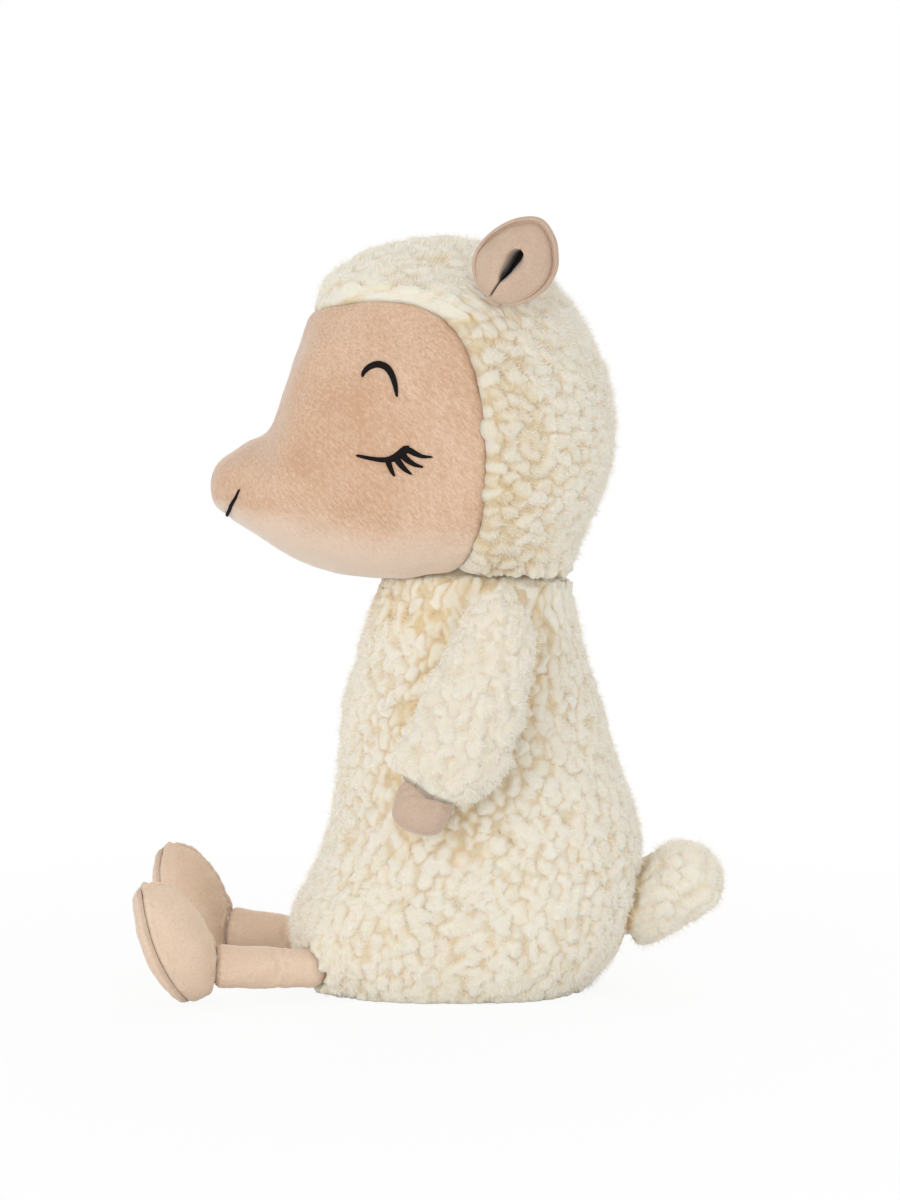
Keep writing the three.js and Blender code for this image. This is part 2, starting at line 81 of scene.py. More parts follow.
EAR = {
    "radius": 17.4, "depth": 6.5, "out": 45.0, "back": 22.5 + SHIFT, "up": 268.5,
    "lean_back": 33.0, "lean_out": 8.0, "turn": 14.0,
}
TAIL = {
    "length": 44.0, "diameter": 33.5, "back": 76.5 + SHIFT, "up": 26.5, "rise": 33.0, "root": 7.5,
}
SLEEVE_LENGTH = ARM["top"] + ARM["length"] - ARM["paw_length"]
# Clearance between pieces that don't touch, how far the inside of the head's cloth stays off the neck,
# and half the width of the ear's pinched root
GAP = 0.3
LINING_GAP = 2.2
EAR_STEM = 3.2

# How far each fleece surface goes round and along, which sets how many points it gets
BODY_REACH = (330, 168)
DOME_REACH = 44
HOOD_REACH = (360, 132)
SLEEVE_REACH = (118, 92)
TAIL_REACH = (128, 58)
# How deep the fleece's backing lies: a share of the curls' height, and millimetres more
BACKING = {"body": (0.98, 0.5), "hood": (0.94, -4.0), "sleeve": (0.8, 0.0), "tail": (0.98, 0.6)}
# Heights between which the body's pile is pressed down under the hood, and where its dome starts
UNDER_HOOD = (160, 166)
DOME_START = 163
# Distances back between which the collar and the nape grow tufts, and how far these reach back and up
BEHIND_NECK = (24, 44)
COLLAR_TUFTS = (0.0, 1.3, 2.6)
NAPE_TUFTS = (0.0, 1.6, -2.6)
# How much further than a root the fleece is pressed in round it, where no loose fibres grow, and how
# near the shoulder the body is cut flat for the arm
PRESSED = {"hip": 1.15, "tail": 0.5, "ear": 0.2}
FIBRE_FREE = {"hip": 12, "tail": 19, "ear": 14, "arm": 27}
ARM_SWEEP = 26
CURL_SEEDS = {"body": 11, "hood": 23, "arm_left": 41, "arm_right": 42, "tail": 67}
FIBRE_SEEDS = {
    "body_fleece_fibres": 101, "hood_fleece_fibres": 102, "arm_left_sleeve_fibres": 103,
    "arm_right_sleeve_fibres": 104, "tail_fleece_fibres": 105,
}
# A curl: power of its dome, lowest height as a share of the tallest, width and cut of its crease, and
# how far its sides lean out, its top hangs over and ripples crimp it
CURL = {
    "flatness": 0.58, "floor": 0.52, "crease": 0.34, "cut": 0.28, "spread": 0.06, "hang": 0.36,
    "crimp": 0.22,
}

# Head rows from the nose to the nape: distance back, top, bottom, half width and how square the
# underside is, as shares
HEAD_ROWS = [
    [0, 0.277, 0.277, 0.002, 0], [0.007, 0.325, 0.233, 0.19, 0], [0.03, 0.362, 0.2, 0.34, 0],
    [0.085, 0.406, 0.152, 0.49, 0], [0.146, 0.45, 0.105, 0.62, 0], [0.184, 0.56, 0.08, 0.7, 0.1],
    [0.222, 0.69, 0.058, 0.77, 0.2], [0.268, 0.823, 0.036, 0.84, 0.4],
    [0.337, 0.915, 0.013, 0.9, 0.7], [0.434, 0.973, 0, 0.964, 0.9], [0.563, 1, 0, 1, 1],
    [0.693, 0.981, 0.012, 0.99, 1], [0.809, 0.915, 0.046, 0.91, 0.9],
    [0.893, 0.815, 0.112, 0.77, 0.6], [0.951, 0.696, 0.215, 0.565, 0.3],
    [0.987, 0.577, 0.33, 0.33, 0], [1, 0.46, 0.455, 0.002, 0],
]
# Height of the head's widest place in a ring, and how far a square row's power falls below one
HEAD_WIDEST = 0.44
HEAD_SQUARE = 0.32
# The seam between face and hood, seen from the side: shares of the head's length and height
SEAM_ROWS = [
    [0.262, 0.815], [0.345, 0.83], [0.43, 0.835], [0.53, 0.82], [0.605, 0.77], [0.655, 0.68],
    [0.684, 0.565], [0.698, 0.42], [0.701, 0.3], [0.69, 0.185], [0.667, 0.095], [0.63, 0.03],
    [0.58, -0.03],
]
SEAM_MIDDLE = (0.35, 0.4)
# Body rows from the seat up: height, front, back, half width, and how square the row is
BODY_ROWS = [
    [0, 0.12, 0.8, 0.79, 1], [0.02, 0.074, 0.84, 0.87, 1], [0.055, 0.04, 0.882, 0.93, 1],
    [0.1, 0.006, 0.93, 0.97, 1], [0.165, 0.003, 0.96, 1, 0.9], [0.24, 0.05, 0.982, 0.99, 0.7],
    [0.34, 0.096, 0.992, 0.965, 0.5], [0.44, 0.125, 0.97, 0.92, 0.3],
    [0.57, 0.142, 0.917, 0.865, 0.1], [0.7, 0.154, 0.873, 0.805, 0],
    [0.81, 0.192, 0.834, 0.748, 0], [0.92, 0.228, 0.8, 0.7, 0], [1, 0.262, 0.765, 0.66, 0],
]
BODY_SQUARE = 0.25
# Rows drawn in under the body, from the middle of the seat out: share of the way, and height
UNDER_ROWS = ((0.1, 3.6), (0.55, 3.6), (0.97, 3.5), (1, 3.0), (1, 0.9), (1.01, 0.4))
# Arm rows from the shoulder down: distance, half width, half thickness and how far it is set back
ARM_ROWS = [
    [0, 0.02, 0.02, 0], [0.01, 0.24, 0.28, 0.005], [0.045, 0.45, 0.55, 0.02],
    [0.11, 0.6, 0.74, 0.04], [0.24, 0.71, 0.87, 0.066], [0.4, 0.84, 0.95, 0.057],
    [0.6, 0.95, 1, 0.05], [0.76, 1, 0.98, 0.025], [0.87, 0.92, 0.88, -0.01],
    [0.95, 0.75, 0.74, -0.035], [1, 0.54, 0.62, -0.08],
]
# Paw rows: distance, half width and half thickness
PAW_ROWS = [
    [-0.6, 0.6, 0.6], [0, 0.96, 0.84], [0.4, 1, 1], [0.75, 0.86, 0.86], [0.94, 0.5, 0.5],
    [1, 0.03, 0.03],
]
# Leg and tail rows: distance and thickness
LEG_ROWS = [[0, 0.88], [0.12, 0.89], [0.3, 0.95], [0.5, 1], [0.75, 1], [1, 0.98]]
TAIL_ROWS = [
    [-0.2, 0.5], [-0.13, 0.75], [0, 0.88], [0.2, 0.97], [0.45, 1], [0.74, 0.99], [0.88, 0.78],
    [0.97, 0.4], [1, 0.01],
]
# Outline of the ear round its middle, from its top on towards the back: shares of its radius
EAR_OUTLINE = [
    1.11, 1.05, 0.97, 0.94, 0.9, 0.88, 0.905, 0.97, 0.96, 1.0, 0.98, 0.935, 0.87, 0.845, 0.885, 0.99,
]
# Patches of painted shade on the face, round the brow and eye: place back and up, size, and strength
SHADE_PATCHES = [(-30, 226, 14, 0.55), (-50, 209, 10, 0.45), (-23, 195, 12, 0.3)]

# Embroidery on the left half of the face: places back and up in millimetres, then widths
STROKES = {
    "brow": (
        [(-26.5, 239.9), (-25.7, 242.1), (-23.5, 244.1), (-20.6, 244.9), (-17.4, 243.7),
         (-15.3, 240.9), (-14.0, 237.1), (-13.3, 232.4)],
        [0.9, 1.7, 2.3, 2.5, 2.4, 2.2, 1.8, 0.8],
    ),
    "eyelid": (
        [(-28.7, 210.6), (-26.0, 210.0), (-23.0, 209.4), (-19.9, 209.0), (-17.0, 209.0),
         (-14.6, 209.6), (-12.3, 211.0), (-10.4, 212.6), (-8.8, 214.2)],
        [0.8, 1.2, 1.4, 1.7, 2.0, 2.5, 2.9, 2.8, 1.9],
    ),
    "lash_front": (
        [(-17.0, 209.2), (-16.1, 206.7), (-15.2, 204.4), (-14.2, 202.6)],
        [2.1, 1.9, 1.4, 0.6],
    ),
    "lash_middle": (
        [(-13.8, 209.7), (-12.1, 207.3), (-10.2, 205.2), (-7.8, 203.4)],
        [2.4, 2.1, 1.6, 0.6],
    ),
    "lash_back": (
        [(-11.9, 211.3), (-9.3, 208.8), (-6.6, 207.1), (-3.4, 206.2)],
        [2.4, 2.1, 1.5, 0.6],
    ),
    "lash_corner": (
        [(-9.6, 213.2), (-7.2, 211.7), (-4.0, 210.3), (0.1, 210.0)],
        [2.4, 2.0, 1.4, 0.6],
    ),
}
# The nose stitch from its left end to its middle: places across and up, then widths
NOSE_STITCH = (
    [(26.4, 197.0), (24.7, 193.6), (21.0, 190.6), (15.5, 188.0), (8.0, 186.4), (0, 185.8)],
    [0.7, 1.1, 1.3, 1.3, 1.2, 1.1],
)


def linear(red, green, blue):
    """Scene colour of a colour given as 0 to 255 on a screen."""
    return tuple(
        (c / 255 / 12.92 if c <= 10 else ((c / 255 + 0.055) / 1.055) ** 2.4) for c in (red, green, blue)
    )


# ---- Shapes -------------------------------------------------------------------------------

def between(before, here, there, after, f):
    """Catmull-Rom curve from here to there, at the share f of the way."""
    square = 2 * before - 5 * here + 4 * there - after
    cube = 3 * (here - there) + after - before
    return here + f / 2 * (there - before + f * (square + f * cube))


def rows_at(table, t):
    """Catmull-Rom curve through the rows of a table; t runs from 0 at the first to 1 at the last."""
    table = np.asarray(table, float)
    place = np.asarray(t, float) * (len(table) - 1)
    k = np.clip(place.astype(int), 0, len(table) - 2)
    near = (table[np.clip(k + n, 0, len(table) - 1)] for n in (-1, 0, 1, 2))
    return between(*near, (place - k)[..., None])


def angles(count):
    """Even steps once round, without the last one, which is the first again."""
    return np.linspace(0, TURN, count, endpoint=False)


def turned(points, degrees, order):
    """Turns points about the axes named in order, the last one first, as a rotation matrix product."""
    x, y, z = (math.radians(d) for d in degrees)
    spins = {
        "X": np.array([[1, 0, 0], [0, math.cos(x), -math.sin(x)], [0, math.sin(x), math.cos(x)]]),
        "Y": np.array([[math.cos(y), 0, math.sin(y)], [0, 1, 0], [-math.sin(y), 0, math.cos(y)]]),
        "Z": np.array([[math.cos(z), -math.sin(z), 0], [math.sin(z), math.cos(z), 0], [0, 0, 1]]),
    }
    matrix = spins[order[0]] @ spins[order[1]] @ spins[order[2]]
    return points @ matrix.T


def smooth(x, start, end):
    """0 before start, 1 after end and an even S-curve between them."""
    t = np.clip((x - start) / (end - start), 0, 1)
    return t * t * (3 - 2 * t)


def bump(x, width):
    """A bell of height 1 at 0 that is down to a third at the width."""
    return np.exp(-(x / width) ** 2)


def unit(vectors):
    """The same directions at length 1."""
    return vectors / np.maximum(np.linalg.norm(vectors, axis=-1, keepdims=True), 1e-9)


def normals_of(grid, wrap=True):
    """Directions square to a grid of points, on either side of it: the cross product of its two ways.
    An end row that is nearly one point takes the mean direction of a row further in."""
    if wrap:
        across = np.roll(grid, -1, 1) - np.roll(grid, 1, 1)
    else:
        across = np.gradient(grid, axis=1)
    along = np.gradient(grid, axis=0)
    normals = np.cross(across, along)
    size = np.linalg.norm(normals, axis=-1, keepdims=True)
    weak = size[..., 0] < 1e-3 * np.median(size)
    normals = normals / np.maximum(size, 1e-9)
    for end, inner in ((0, 2), (-1, -3)):
        if weak[end].any():
            normals[end] = unit(normals[inner].mean(0))
    return normals


def facing(grid, normals):
    """1 where the directions point away from the grid's middle on the whole, and otherwise -1."""
    away = grid - grid.reshape(-1, 3).mean(0)
    return 1.0 if (away * normals).sum() > 0 else -1.0


def outward_normals(grid):
    """Directions square to a grid, turned to point away from its middle on the whole."""
    normals = normals_of(grid)
    return normals * facing(grid, normals)


def even_rows(form, count, first=0.0, last=1.0):
    """Values of t that are evenly spaced along the surface form(t, a), measured on average round it."""
    dense = np.linspace(first, last, 800)
    a = angles(16)
    points = form(dense[:, None], a[None, :])
    step = np.linalg.norm(np.diff(points, axis=0), axis=-1).mean(1)
    length = np.concatenate([[0], np.cumsum(step)])
    return np.interp(np.linspace(0, length[-1], count), length, dense)


def ripple(points, size, seed):
    """Soft noise of about unit height: a sum of cosine waves of that size in seeded directions."""
    waves = 22
    rng = np.random.default_rng(seed)
    ways = unit(rng.normal(size=(waves, 3))) * (TURN / size) * rng.uniform(0.6, 1.5, (waves, 1))
    total = np.cos(points.reshape(-1, 3) @ ways.T + rng.uniform(0, TURN, waves)).sum(1)
    return (total / math.sqrt(waves)).reshape(points.shape[:-1])


def powered(w, power):
    """A number raised to a power with its sign kept."""
    return np.sign(w) * np.abs(w) ** power


def head_form(t, a, grow=0.0):
    """Ring t of the head: x is a sine and z a cosine of a between the row's bottom, widest and top;
    in the lower half both are raised to a power below one, which squares the underside."""
    back, top, bottom, width, under = np.moveaxis(rows_at(HEAD_ROWS, t), -1, 0)
    widest = bottom + (top - bottom) * HEAD_WIDEST
    power = np.where(np.cos(a) < 0, 1 - under * HEAD_SQUARE, 1)
    up = widest + powered(np.cos(a), power) * np.where(np.cos(a) > 0, top - widest, widest - bottom)
    x = powered(np.sin(a), power) * width * (HEAD["width"] / 2 + grow)
    y = HEAD["nose"] - grow + back * (HEAD["length"] + 2 * grow) + 0 * x
    return np.stack([x, y, HEAD["chin"] - grow + up * (HEAD["height"] + 2 * grow)], -1)


def body_form(t, a, inset=0.0):
    """Ring t of the body: a rounded square to an ellipse, from a signed power of sine and cosine."""
    up, front, back, width, square = np.moveaxis(rows_at(BODY_ROWS, t), -1, 0)
    middle = (front + back) / 2
    power = 1 - square * BODY_SQUARE
    full = [powered(w, power) for w in (np.sin(a), np.cos(a))]
    x = full[0] * width * (BODY["width"] / 2 - inset)
    y = BODY["front"] + inset + (middle + (back - middle) * full[1]) * (BODY["depth"] - 2 * inset)
    z = inset + up * (BODY["height"] - inset) + 0 * x
    return np.stack([x, y, z], -1)


def body_back(x, z):
    """How far back the body reaches at a place across and up: its ring's outline solved for y."""
    dense = np.linspace(0, 1, 400)
    rows = rows_at(BODY_ROWS, dense)
    up = np.clip(z / BODY["height"], 0, 1)
    front, back, width, square = (np.interp(up, rows[:, 0], rows[:, n]) for n in (1, 2, 3, 4))
    sine = np.clip(np.abs(x) / (width * BODY["width"] / 2), 0, 1) ** (1 / (1 - square * BODY_SQUARE))
    cosine = np.sqrt(1 - sine ** 2) ** (1 - square * BODY_SQUARE)
    middle = (front + back) / 2
    return BODY["front"] + (middle + (back - middle) * cosine) * BODY["depth"]


def seam_rows(a):
    """For each meridian of the head, the t at which it crosses the seam, found on polar distances."""
    seam = rows_at(SEAM_ROWS, np.linspace(0, 1, 400))
    scale = np.array([HEAD["length"], HEAD["height"]])
    spoke = (seam - SEAM_MIDDLE) * scale
    angle = np.arctan2(spoke[:, 1], spoke[:, 0])
    reach = np.hypot(spoke[:, 0], spoke[:, 1])
    t = np.linspace(0, 1, 1600)
    points = head_form(t[:, None], a[None, :])
    y = (points[..., 1] - HEAD["nose"]) - SEAM_MIDDLE[0] * HEAD["length"]
    z = (points[..., 2] - HEAD["chin"]) - SEAM_MIDDLE[1] * HEAD["height"]
    limit = np.interp(np.arctan2(z, y), angle[::-1], reach[::-1])
    past = np.hypot(y, z) - limit
    past[y < -0.1 * HEAD["length"]] = -1
    first = np.argmax(past > 0, axis=0)
    columns = np.arange(len(a))
    low, high = past[first - 1, columns], past[first, columns]
    return t[first - 1] + (t[first] - t[first - 1]) * np.clip(-low / (high - low), 0, 1)


def head_rows(a, shares, first, last, grow):
    """Points of the head at shares of the way, along each meridian, from t first to t last, and how far
    along it they lie."""
    dense = np.linspace(0, 1, 900)
    points = head_form(dense[:, None], a[None, :], grow)
    step = np.linalg.norm(np.diff(points, axis=0), axis=-1)
    length = np.concatenate([np.zeros((1, len(a))), np.cumsum(step, 0)])
    # One interpolation serves all meridians, because each has a lane of values to itself
    column = np.arange(len(a))
    lane = column * (length.max() + 1)
    lanes = (dense[:, None] + column * 2).T.ravel()
    start, end = (np.interp(t + column * 2, lanes, length.T.ravel()) for t in (first, last))
    want = start + (end - start) * shares[:, None] + lane
    t = np.interp(want, (length + lane).T.ravel(), np.tile(dense, len(a)))
    return head_form(t, a[None, :], grow), (end - start) * shares[:, None]


def pressed(points, normals, centre, radius):
    """Sinks points that lie in a ball down along their inward direction, to the ball's far side."""
    offset = points - np.asarray(centre)
    inside = np.linalg.norm(offset, axis=-1) < radius
    along = (offset * normals).sum(-1)
    depth = along + np.sqrt(np.maximum(along ** 2 + radius ** 2 - (offset ** 2).sum(-1), 0))
    return points - normals * (inside * depth)[..., None]


def rounded_socket(points, centre, radius):
    """Moves points that lie in a ball straight out to its surface."""
    offset = points - np.asarray(centre)
    far = np.linalg.norm(offset, axis=-1, keepdims=True)
    return np.where(far < radius, np.asarray(centre) + offset / np.maximum(far, 1e-6) * radius, points)


def from_pair(points, part):
    """Distance from the nearer of a pair of mirrored places, such as the two hips."""
    mirrored = np.abs(points) * (1, 0, 0) + points * (0, 1, 1)
    return np.linalg.norm(mirrored - (part["out"], part["back"], part["up"]), axis=-1)


# ---- Fleece -------------------------------------------------------------------------------

def curl_places(points, normals, weight, spacing, rng):
    """Seeded places for the curls, thrown like darts and kept where no other lies within the spacing."""
    throws = int(weight.sum() / spacing ** 2 * 12) + 40
    chosen = rng.choice(len(points), size=throws, p=weight / weight.sum())
    room = spacing * rng.uniform(0.85, 1.12, len(chosen))
    kept = np.empty((0, 3))
    index = []
    for pick, gap in zip(chosen, room):
        if len(kept) == 0 or ((kept - points[pick]) ** 2).sum(1).min() > gap * gap:
            kept = np.vstack([kept, points[pick]])
            index.append(pick)
    return kept, normals[index]


def highest_curls(points, centres, lines, half, girth, tall, step):
    """For each point the height of the highest curl there, how far it stands over the next one, and its
    number, worked out for some rows of points at a time."""
    height, rim = np.zeros(len(points)), np.zeros(len(points))
    winner = np.zeros(len(points), int)
    reach = (girth + half).max()
    for start in range(0, len(points), step):
        part = points[start:start + step]
        low, high = part.min(0) - reach, part.max(0) + reach
        near = np.where(((centres > low) & (centres < high)).all(1))[0]
        if len(near) < 2:
            continue
        place = (part @ lines[near].T) - (centres[near] * lines[near]).sum(1)
        square = (part ** 2).sum(1)[:, None] - 2 * part @ centres[near].T + (centres[near] ** 2).sum(1)
        beyond = np.maximum(np.abs(place) - half[near], 0)
        q = (square - place ** 2 + beyond ** 2) / girth[near] ** 2
        dome = tall[near] * np.clip(1 - q, 0, 1) ** CURL["flatness"]
        best = dome.argmax(1)
        each = np.arange(len(part))
        top = dome[each, best]
        dome[each, best] = -1
        height[start:start + step] = top
        rim[start:start + step] = top - dome.max(1)
        winner[start:start + step] = near[best]
    return height, rim, winner


def fleece_surface(grid, settings, pile, seed, flow, stretch=None, uneven=0.28):
    """Raises curls on a grid. Each is a fat short roll that lies roughly along the flow: a dome of
    height (1 - q)^flatness, where q is the squared distance from the roll's line over its squared
    girth. The highest curl wins, so neighbours meet in thin creases; its top hangs over along the
    flow, its sides lean outwards and fine ripples crimp it. Returns the points, the height shares, a
    seeded number from 0 to 1 for each point's curl, and the outward directions."""
    rng = np.random.default_rng(seed)
    normals = outward_normals(grid)
    across = np.linalg.norm(np.roll(grid, -1, 1) - grid, axis=-1)
    along = np.linalg.norm(np.gradient(grid, axis=0), axis=-1)
    flat, direction = grid.reshape(-1, 3), normals.reshape(-1, 3)
    weight = (across * along * (pile > 0.05)).ravel()
    spacing = settings.spacing / MM
    centres, ups = curl_places(flat, direction, weight, spacing, rng)
    count = len(centres)
    way = np.asarray(flow(centres), float) + 0.75 * unit(rng.normal(size=(count, 3)))
    lines = unit(way - ups * (way * ups).sum(1, keepdims=True))
    girth = spacing * rng.uniform(0.72, 0.92, count)
    half = spacing * rng.uniform(0.1, 0.4, count) * (1 if stretch is None else stretch(centres))
    tall = settings.height / MM * rng.uniform(1 - uneven, 1.0, count)
    bent = flat + np.stack([
        0.7 * ripple(flat, 7.0, seed + k) + 0.2 * ripple(flat, 3.6, seed + k + 6) for k in (1, 2, 3)
    ], -1)
    height, rim, winner = highest_curls(bent, centres, lines, half, girth, tall, grid.shape[1] * 6)
    rim = np.clip(rim, 0, 9)
    merged = np.clip(0.4 + 0.5 * ripple(flat, 8.0, seed + 4), 0, 1)
    blend = 0.15 + 0.9 * merged
    height = np.maximum(height, CURL["floor"] * tall.max()) + 0.5 * blend * np.exp(-rim / blend)
    crease = np.exp(-rim / CURL["crease"]) * (1 - 0.6 * merged)
    # The height share, lowered further in the creases, sets how much painted crease shade the colour takes
    share = np.clip(height / tall.max(), 0, 1) * (1 - 0.35 * crease)
    away = flat - centres[winner]
    away = away - direction * (away * direction).sum(1, keepdims=True)
    cover = pile.ravel()
    crimp = CURL["crimp"] * ripple(flat, 2.1, seed + 5)
    hang = np.asarray(flow(flat), float)
    hang = unit(hang - direction * (hang * direction).sum(1, keepdims=True))
    moved = flat + away * (CURL["spread"] * (1 - crease) * cover)[:, None]
    moved = moved + hang * (CURL["hang"] * (height - 0.8 * height.max()) * cover)[:, None]
    moved = moved + direction * ((height - CURL["cut"] * crease + crimp) * cover)[:, None]
    tone = rng.uniform(0, 1, count)[winner]
    shape = grid.shape[:2]
    return unfolded(moved.reshape(grid.shape), normals), share.reshape(shape), tone.reshape(shape), normals


def with_painted_shade(share, dim):
    """Height shares lowered where shade is painted on the fleece: lower all over, and lowest in the creases.
    """
    return share - dim * (0.21 + 0.45 * (1 - share))


def unfolded(grid, normals):
    """Opens places where the surface has turned over: their points go to the mean of their neighbours."""
    for _ in range(4):
        now = normals_of(grid)
        now = now * np.sign((now * normals).sum(-1).mean())
        folded = (now * normals).sum(-1) < 0.2
        folded[1:-1] |= folded[:-2] | folded[2:]
        folded[[0, 1, -2, -1]] = False
        mean = (np.roll(grid, 1, 0) + np.roll(grid, -1, 0) + np.roll(grid, 1, 1) + np.roll(grid, -1, 1)) / 4
        grid = np.where(folded[..., None], mean, grid)
    return grid


def loose_fibres(scene, name, grid, weight, flow, body):
    """Fine fibres that stand out of the curls. Each is a spike with three sides: its root lies at a
    seeded place between four points of the grid, and its tip at the root plus length times the
    direction, which is outwards with a random lean and a little of the flow. Clumps of them are longer."""
    settings = scene.sheep_fleece
    seed = FIBRE_SEEDS[name]
    rng = np.random.default_rng(seed)
    normals = outward_normals(grid)
    right = np.roll(grid, -1, 1)
    across = np.linalg.norm(right - grid, axis=-1)[:-1]
    along = np.linalg.norm(np.diff(grid, axis=0), axis=-1)
    area = (across * along * weight[:-1]).ravel()
    count = int(area.sum() * settings.fibres * 1e-6)
    cell = rng.choice(len(area), size=count, p=area / area.sum())
    s, t = rng.uniform(0, 1, (2, count, 1))
    near = [corner.reshape(-1, 3)[cell] for corner in (grid[:-1], right[:-1], grid[1:], right[1:])]
    root = (near[0] * (1 - s) + near[1] * s) * (1 - t) + (near[2] * (1 - s) + near[3] * s) * t
    out = normals[:-1].reshape(-1, 3)[cell]
    lean = unit(rng.normal(size=(count, 3))) * rng.uniform(0.2, 1.1, (count, 1))
    lean = lean + 0.35 * np.asarray(flow(root), float)
    clump = np.clip(1 + 0.35 * ripple(root, 6.0, seed + 1), 0.4, 1.6)
    way = unit(out + lean - out * np.minimum((lean * out).sum(1, keepdims=True), 0))
    length = settings.fibre_length / MM * rng.uniform(0.45, 1.0, count) * clump
    side = unit(np.cross(way, out + 0.01 * rng.normal(size=(count, 3))))
    other = np.cross(way, side)
    width = settings.fibre_width / MM / 2 * rng.uniform(0.7, 1.3, (count, 1))
    base = root - way * 0.25
    turn = np.arange(3) * TURN / 3
    ring = [base + width * (math.cos(w) * side + math.sin(w) * other) for w in turn]
    points = np.stack([*ring, root + way * length[:, None]], 1).reshape(-1, 3)
    points[:, 2] = np.maximum(points[:, 2], 0.2)
    spike = np.array([(0, 1, 3), (1, 2, 3), (2, 0, 3), (2, 1, 0)])
    faces = (np.arange(count)[:, None, None] * 4 + spike).reshape(-1, 3)
    piece = put_mesh(name, points, faces.tolist(), {}, rounded=False)
    return dress(piece, fibre_material(scene), body)


def downwards(places):
    """Flow of the body's and the arms' fleece."""
    return np.tile([0.0, 0.0, -1.2], (len(places), 1))


def backwards(places):
    """Flow of the hood's and the tail's fleece."""
    return np.tile([0.0, 1.2, 0.0], (len(places), 1))


# ---- Meshes -------------------------------------------------------------------------------

def put_mesh(name, points, faces, marks, rounded=True):
    """A new mesh object from points in millimetres and faces, with a number for each point by name."""
    mesh = bpy.data.meshes.new(name)
    mesh.from_pydata((points * MM).tolist(), [], faces)
    for label, flat in marks.items():
        mesh.attributes.new(label, "FLOAT", "POINT").data.foreach_set("value", flat.astype(np.float32))
    if rounded:
        mesh.shade_smooth()
    mesh.update()
    piece = bpy.data.objects.new(name, mesh)
    bpy.context.scene.collection.objects.link(piece)
    return piece


def mesh_object(name, grid, values, outward=None):
    """A grid of points, joined round its columns, whose two ends are closed with a point in their middle."""
    rows, columns = grid.shape[:2]
    i = np.arange(rows - 1)[:, None] * columns
    j = np.arange(columns)[None, :]
    k = (j + 1) % columns
    quads = np.stack([i + j, i + k, i + k + columns, i + j + columns], -1).reshape(-1, 4)
    turned_out = (facing(grid, normals_of(grid)) if outward is None else outward) > 0
    faces = quads.tolist() if turned_out else quads[:, ::-1].tolist()
    points = np.vstack([grid.reshape(-1, 3), grid[0].mean(0), grid[-1].mean(0)])
    j, k = j.ravel(), k.ravel()
    last = (rows - 1) * columns
    start = np.stack([np.full(columns, rows * columns), k, j], -1)
    end = np.stack([np.full(columns, rows * columns + 1), last + j, last + k], -1)
    for fan in (start, end):
        faces += fan.tolist() if turned_out else fan[:, ::-1].tolist()
    marks = {label: np.append(value, [value[0].mean(), value[-1].mean()]) for label, value in values.items()}
    return put_mesh(name, points, faces, marks)


def joined(name, pieces):
    """Several mesh objects as one, with their places as they are."""
    with bpy.context.temp_override(active_object=pieces[0], selected_editable_objects=pieces):
        bpy.ops.object.join()
    pieces[0].name = name
    pieces[0].data.name = name
    return pieces[0]


def dress(piece, material, body, nodes=()):
    """Gives a piece its cloth and the body that it moves with, and hides the plain solids that it stands
    for.
    """
    piece.data.materials.clear()
    piece.data.materials.append(material)
    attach(piece, body)
    if nodes:
        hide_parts(*nodes)
    return piece


# ---- Cloth finishes -----------------------------------------------------------------------

class Amount:
    """One number of a shader, so that sums of such numbers read as plain Python."""

    def __init__(self, cloth, socket):
        self.cloth = cloth
        self.socket = socket

    def do(self, operation, other, clamp=False):
        """A Math node on this number and another."""
        settings = {"operation": operation, "use_clamp": clamp}
        node = self.cloth.add("ShaderNodeMath", settings, {0: self, 1: other})
        return Amount(self.cloth, node.outputs[0])

    def __add__(self, other):
        return self.do("ADD", other)

    def __mul__(self, other):
        return self.do("MULTIPLY", other)

    def __sub__(self, other):
        return self.do("SUBTRACT", other)

    def __rsub__(self, other):
        return (self * -1.0) + other

    __radd__ = __add__
    __rmul__ = __mul__

    def held(self):
        """The same number kept between 0 and 1."""
        return self.do("ADD", 0.0, clamp=True)

    def step(self, low, high):
        """0 below low, 1 above high and smooth between them."""
        node = self.cloth.add("ShaderNodeMapRange", {"interpolation_type": "SMOOTHSTEP"}, {
            "Value": self, "From Min": low, "From Max": high,
        })
        return Amount(self.cloth, node.outputs["Result"])


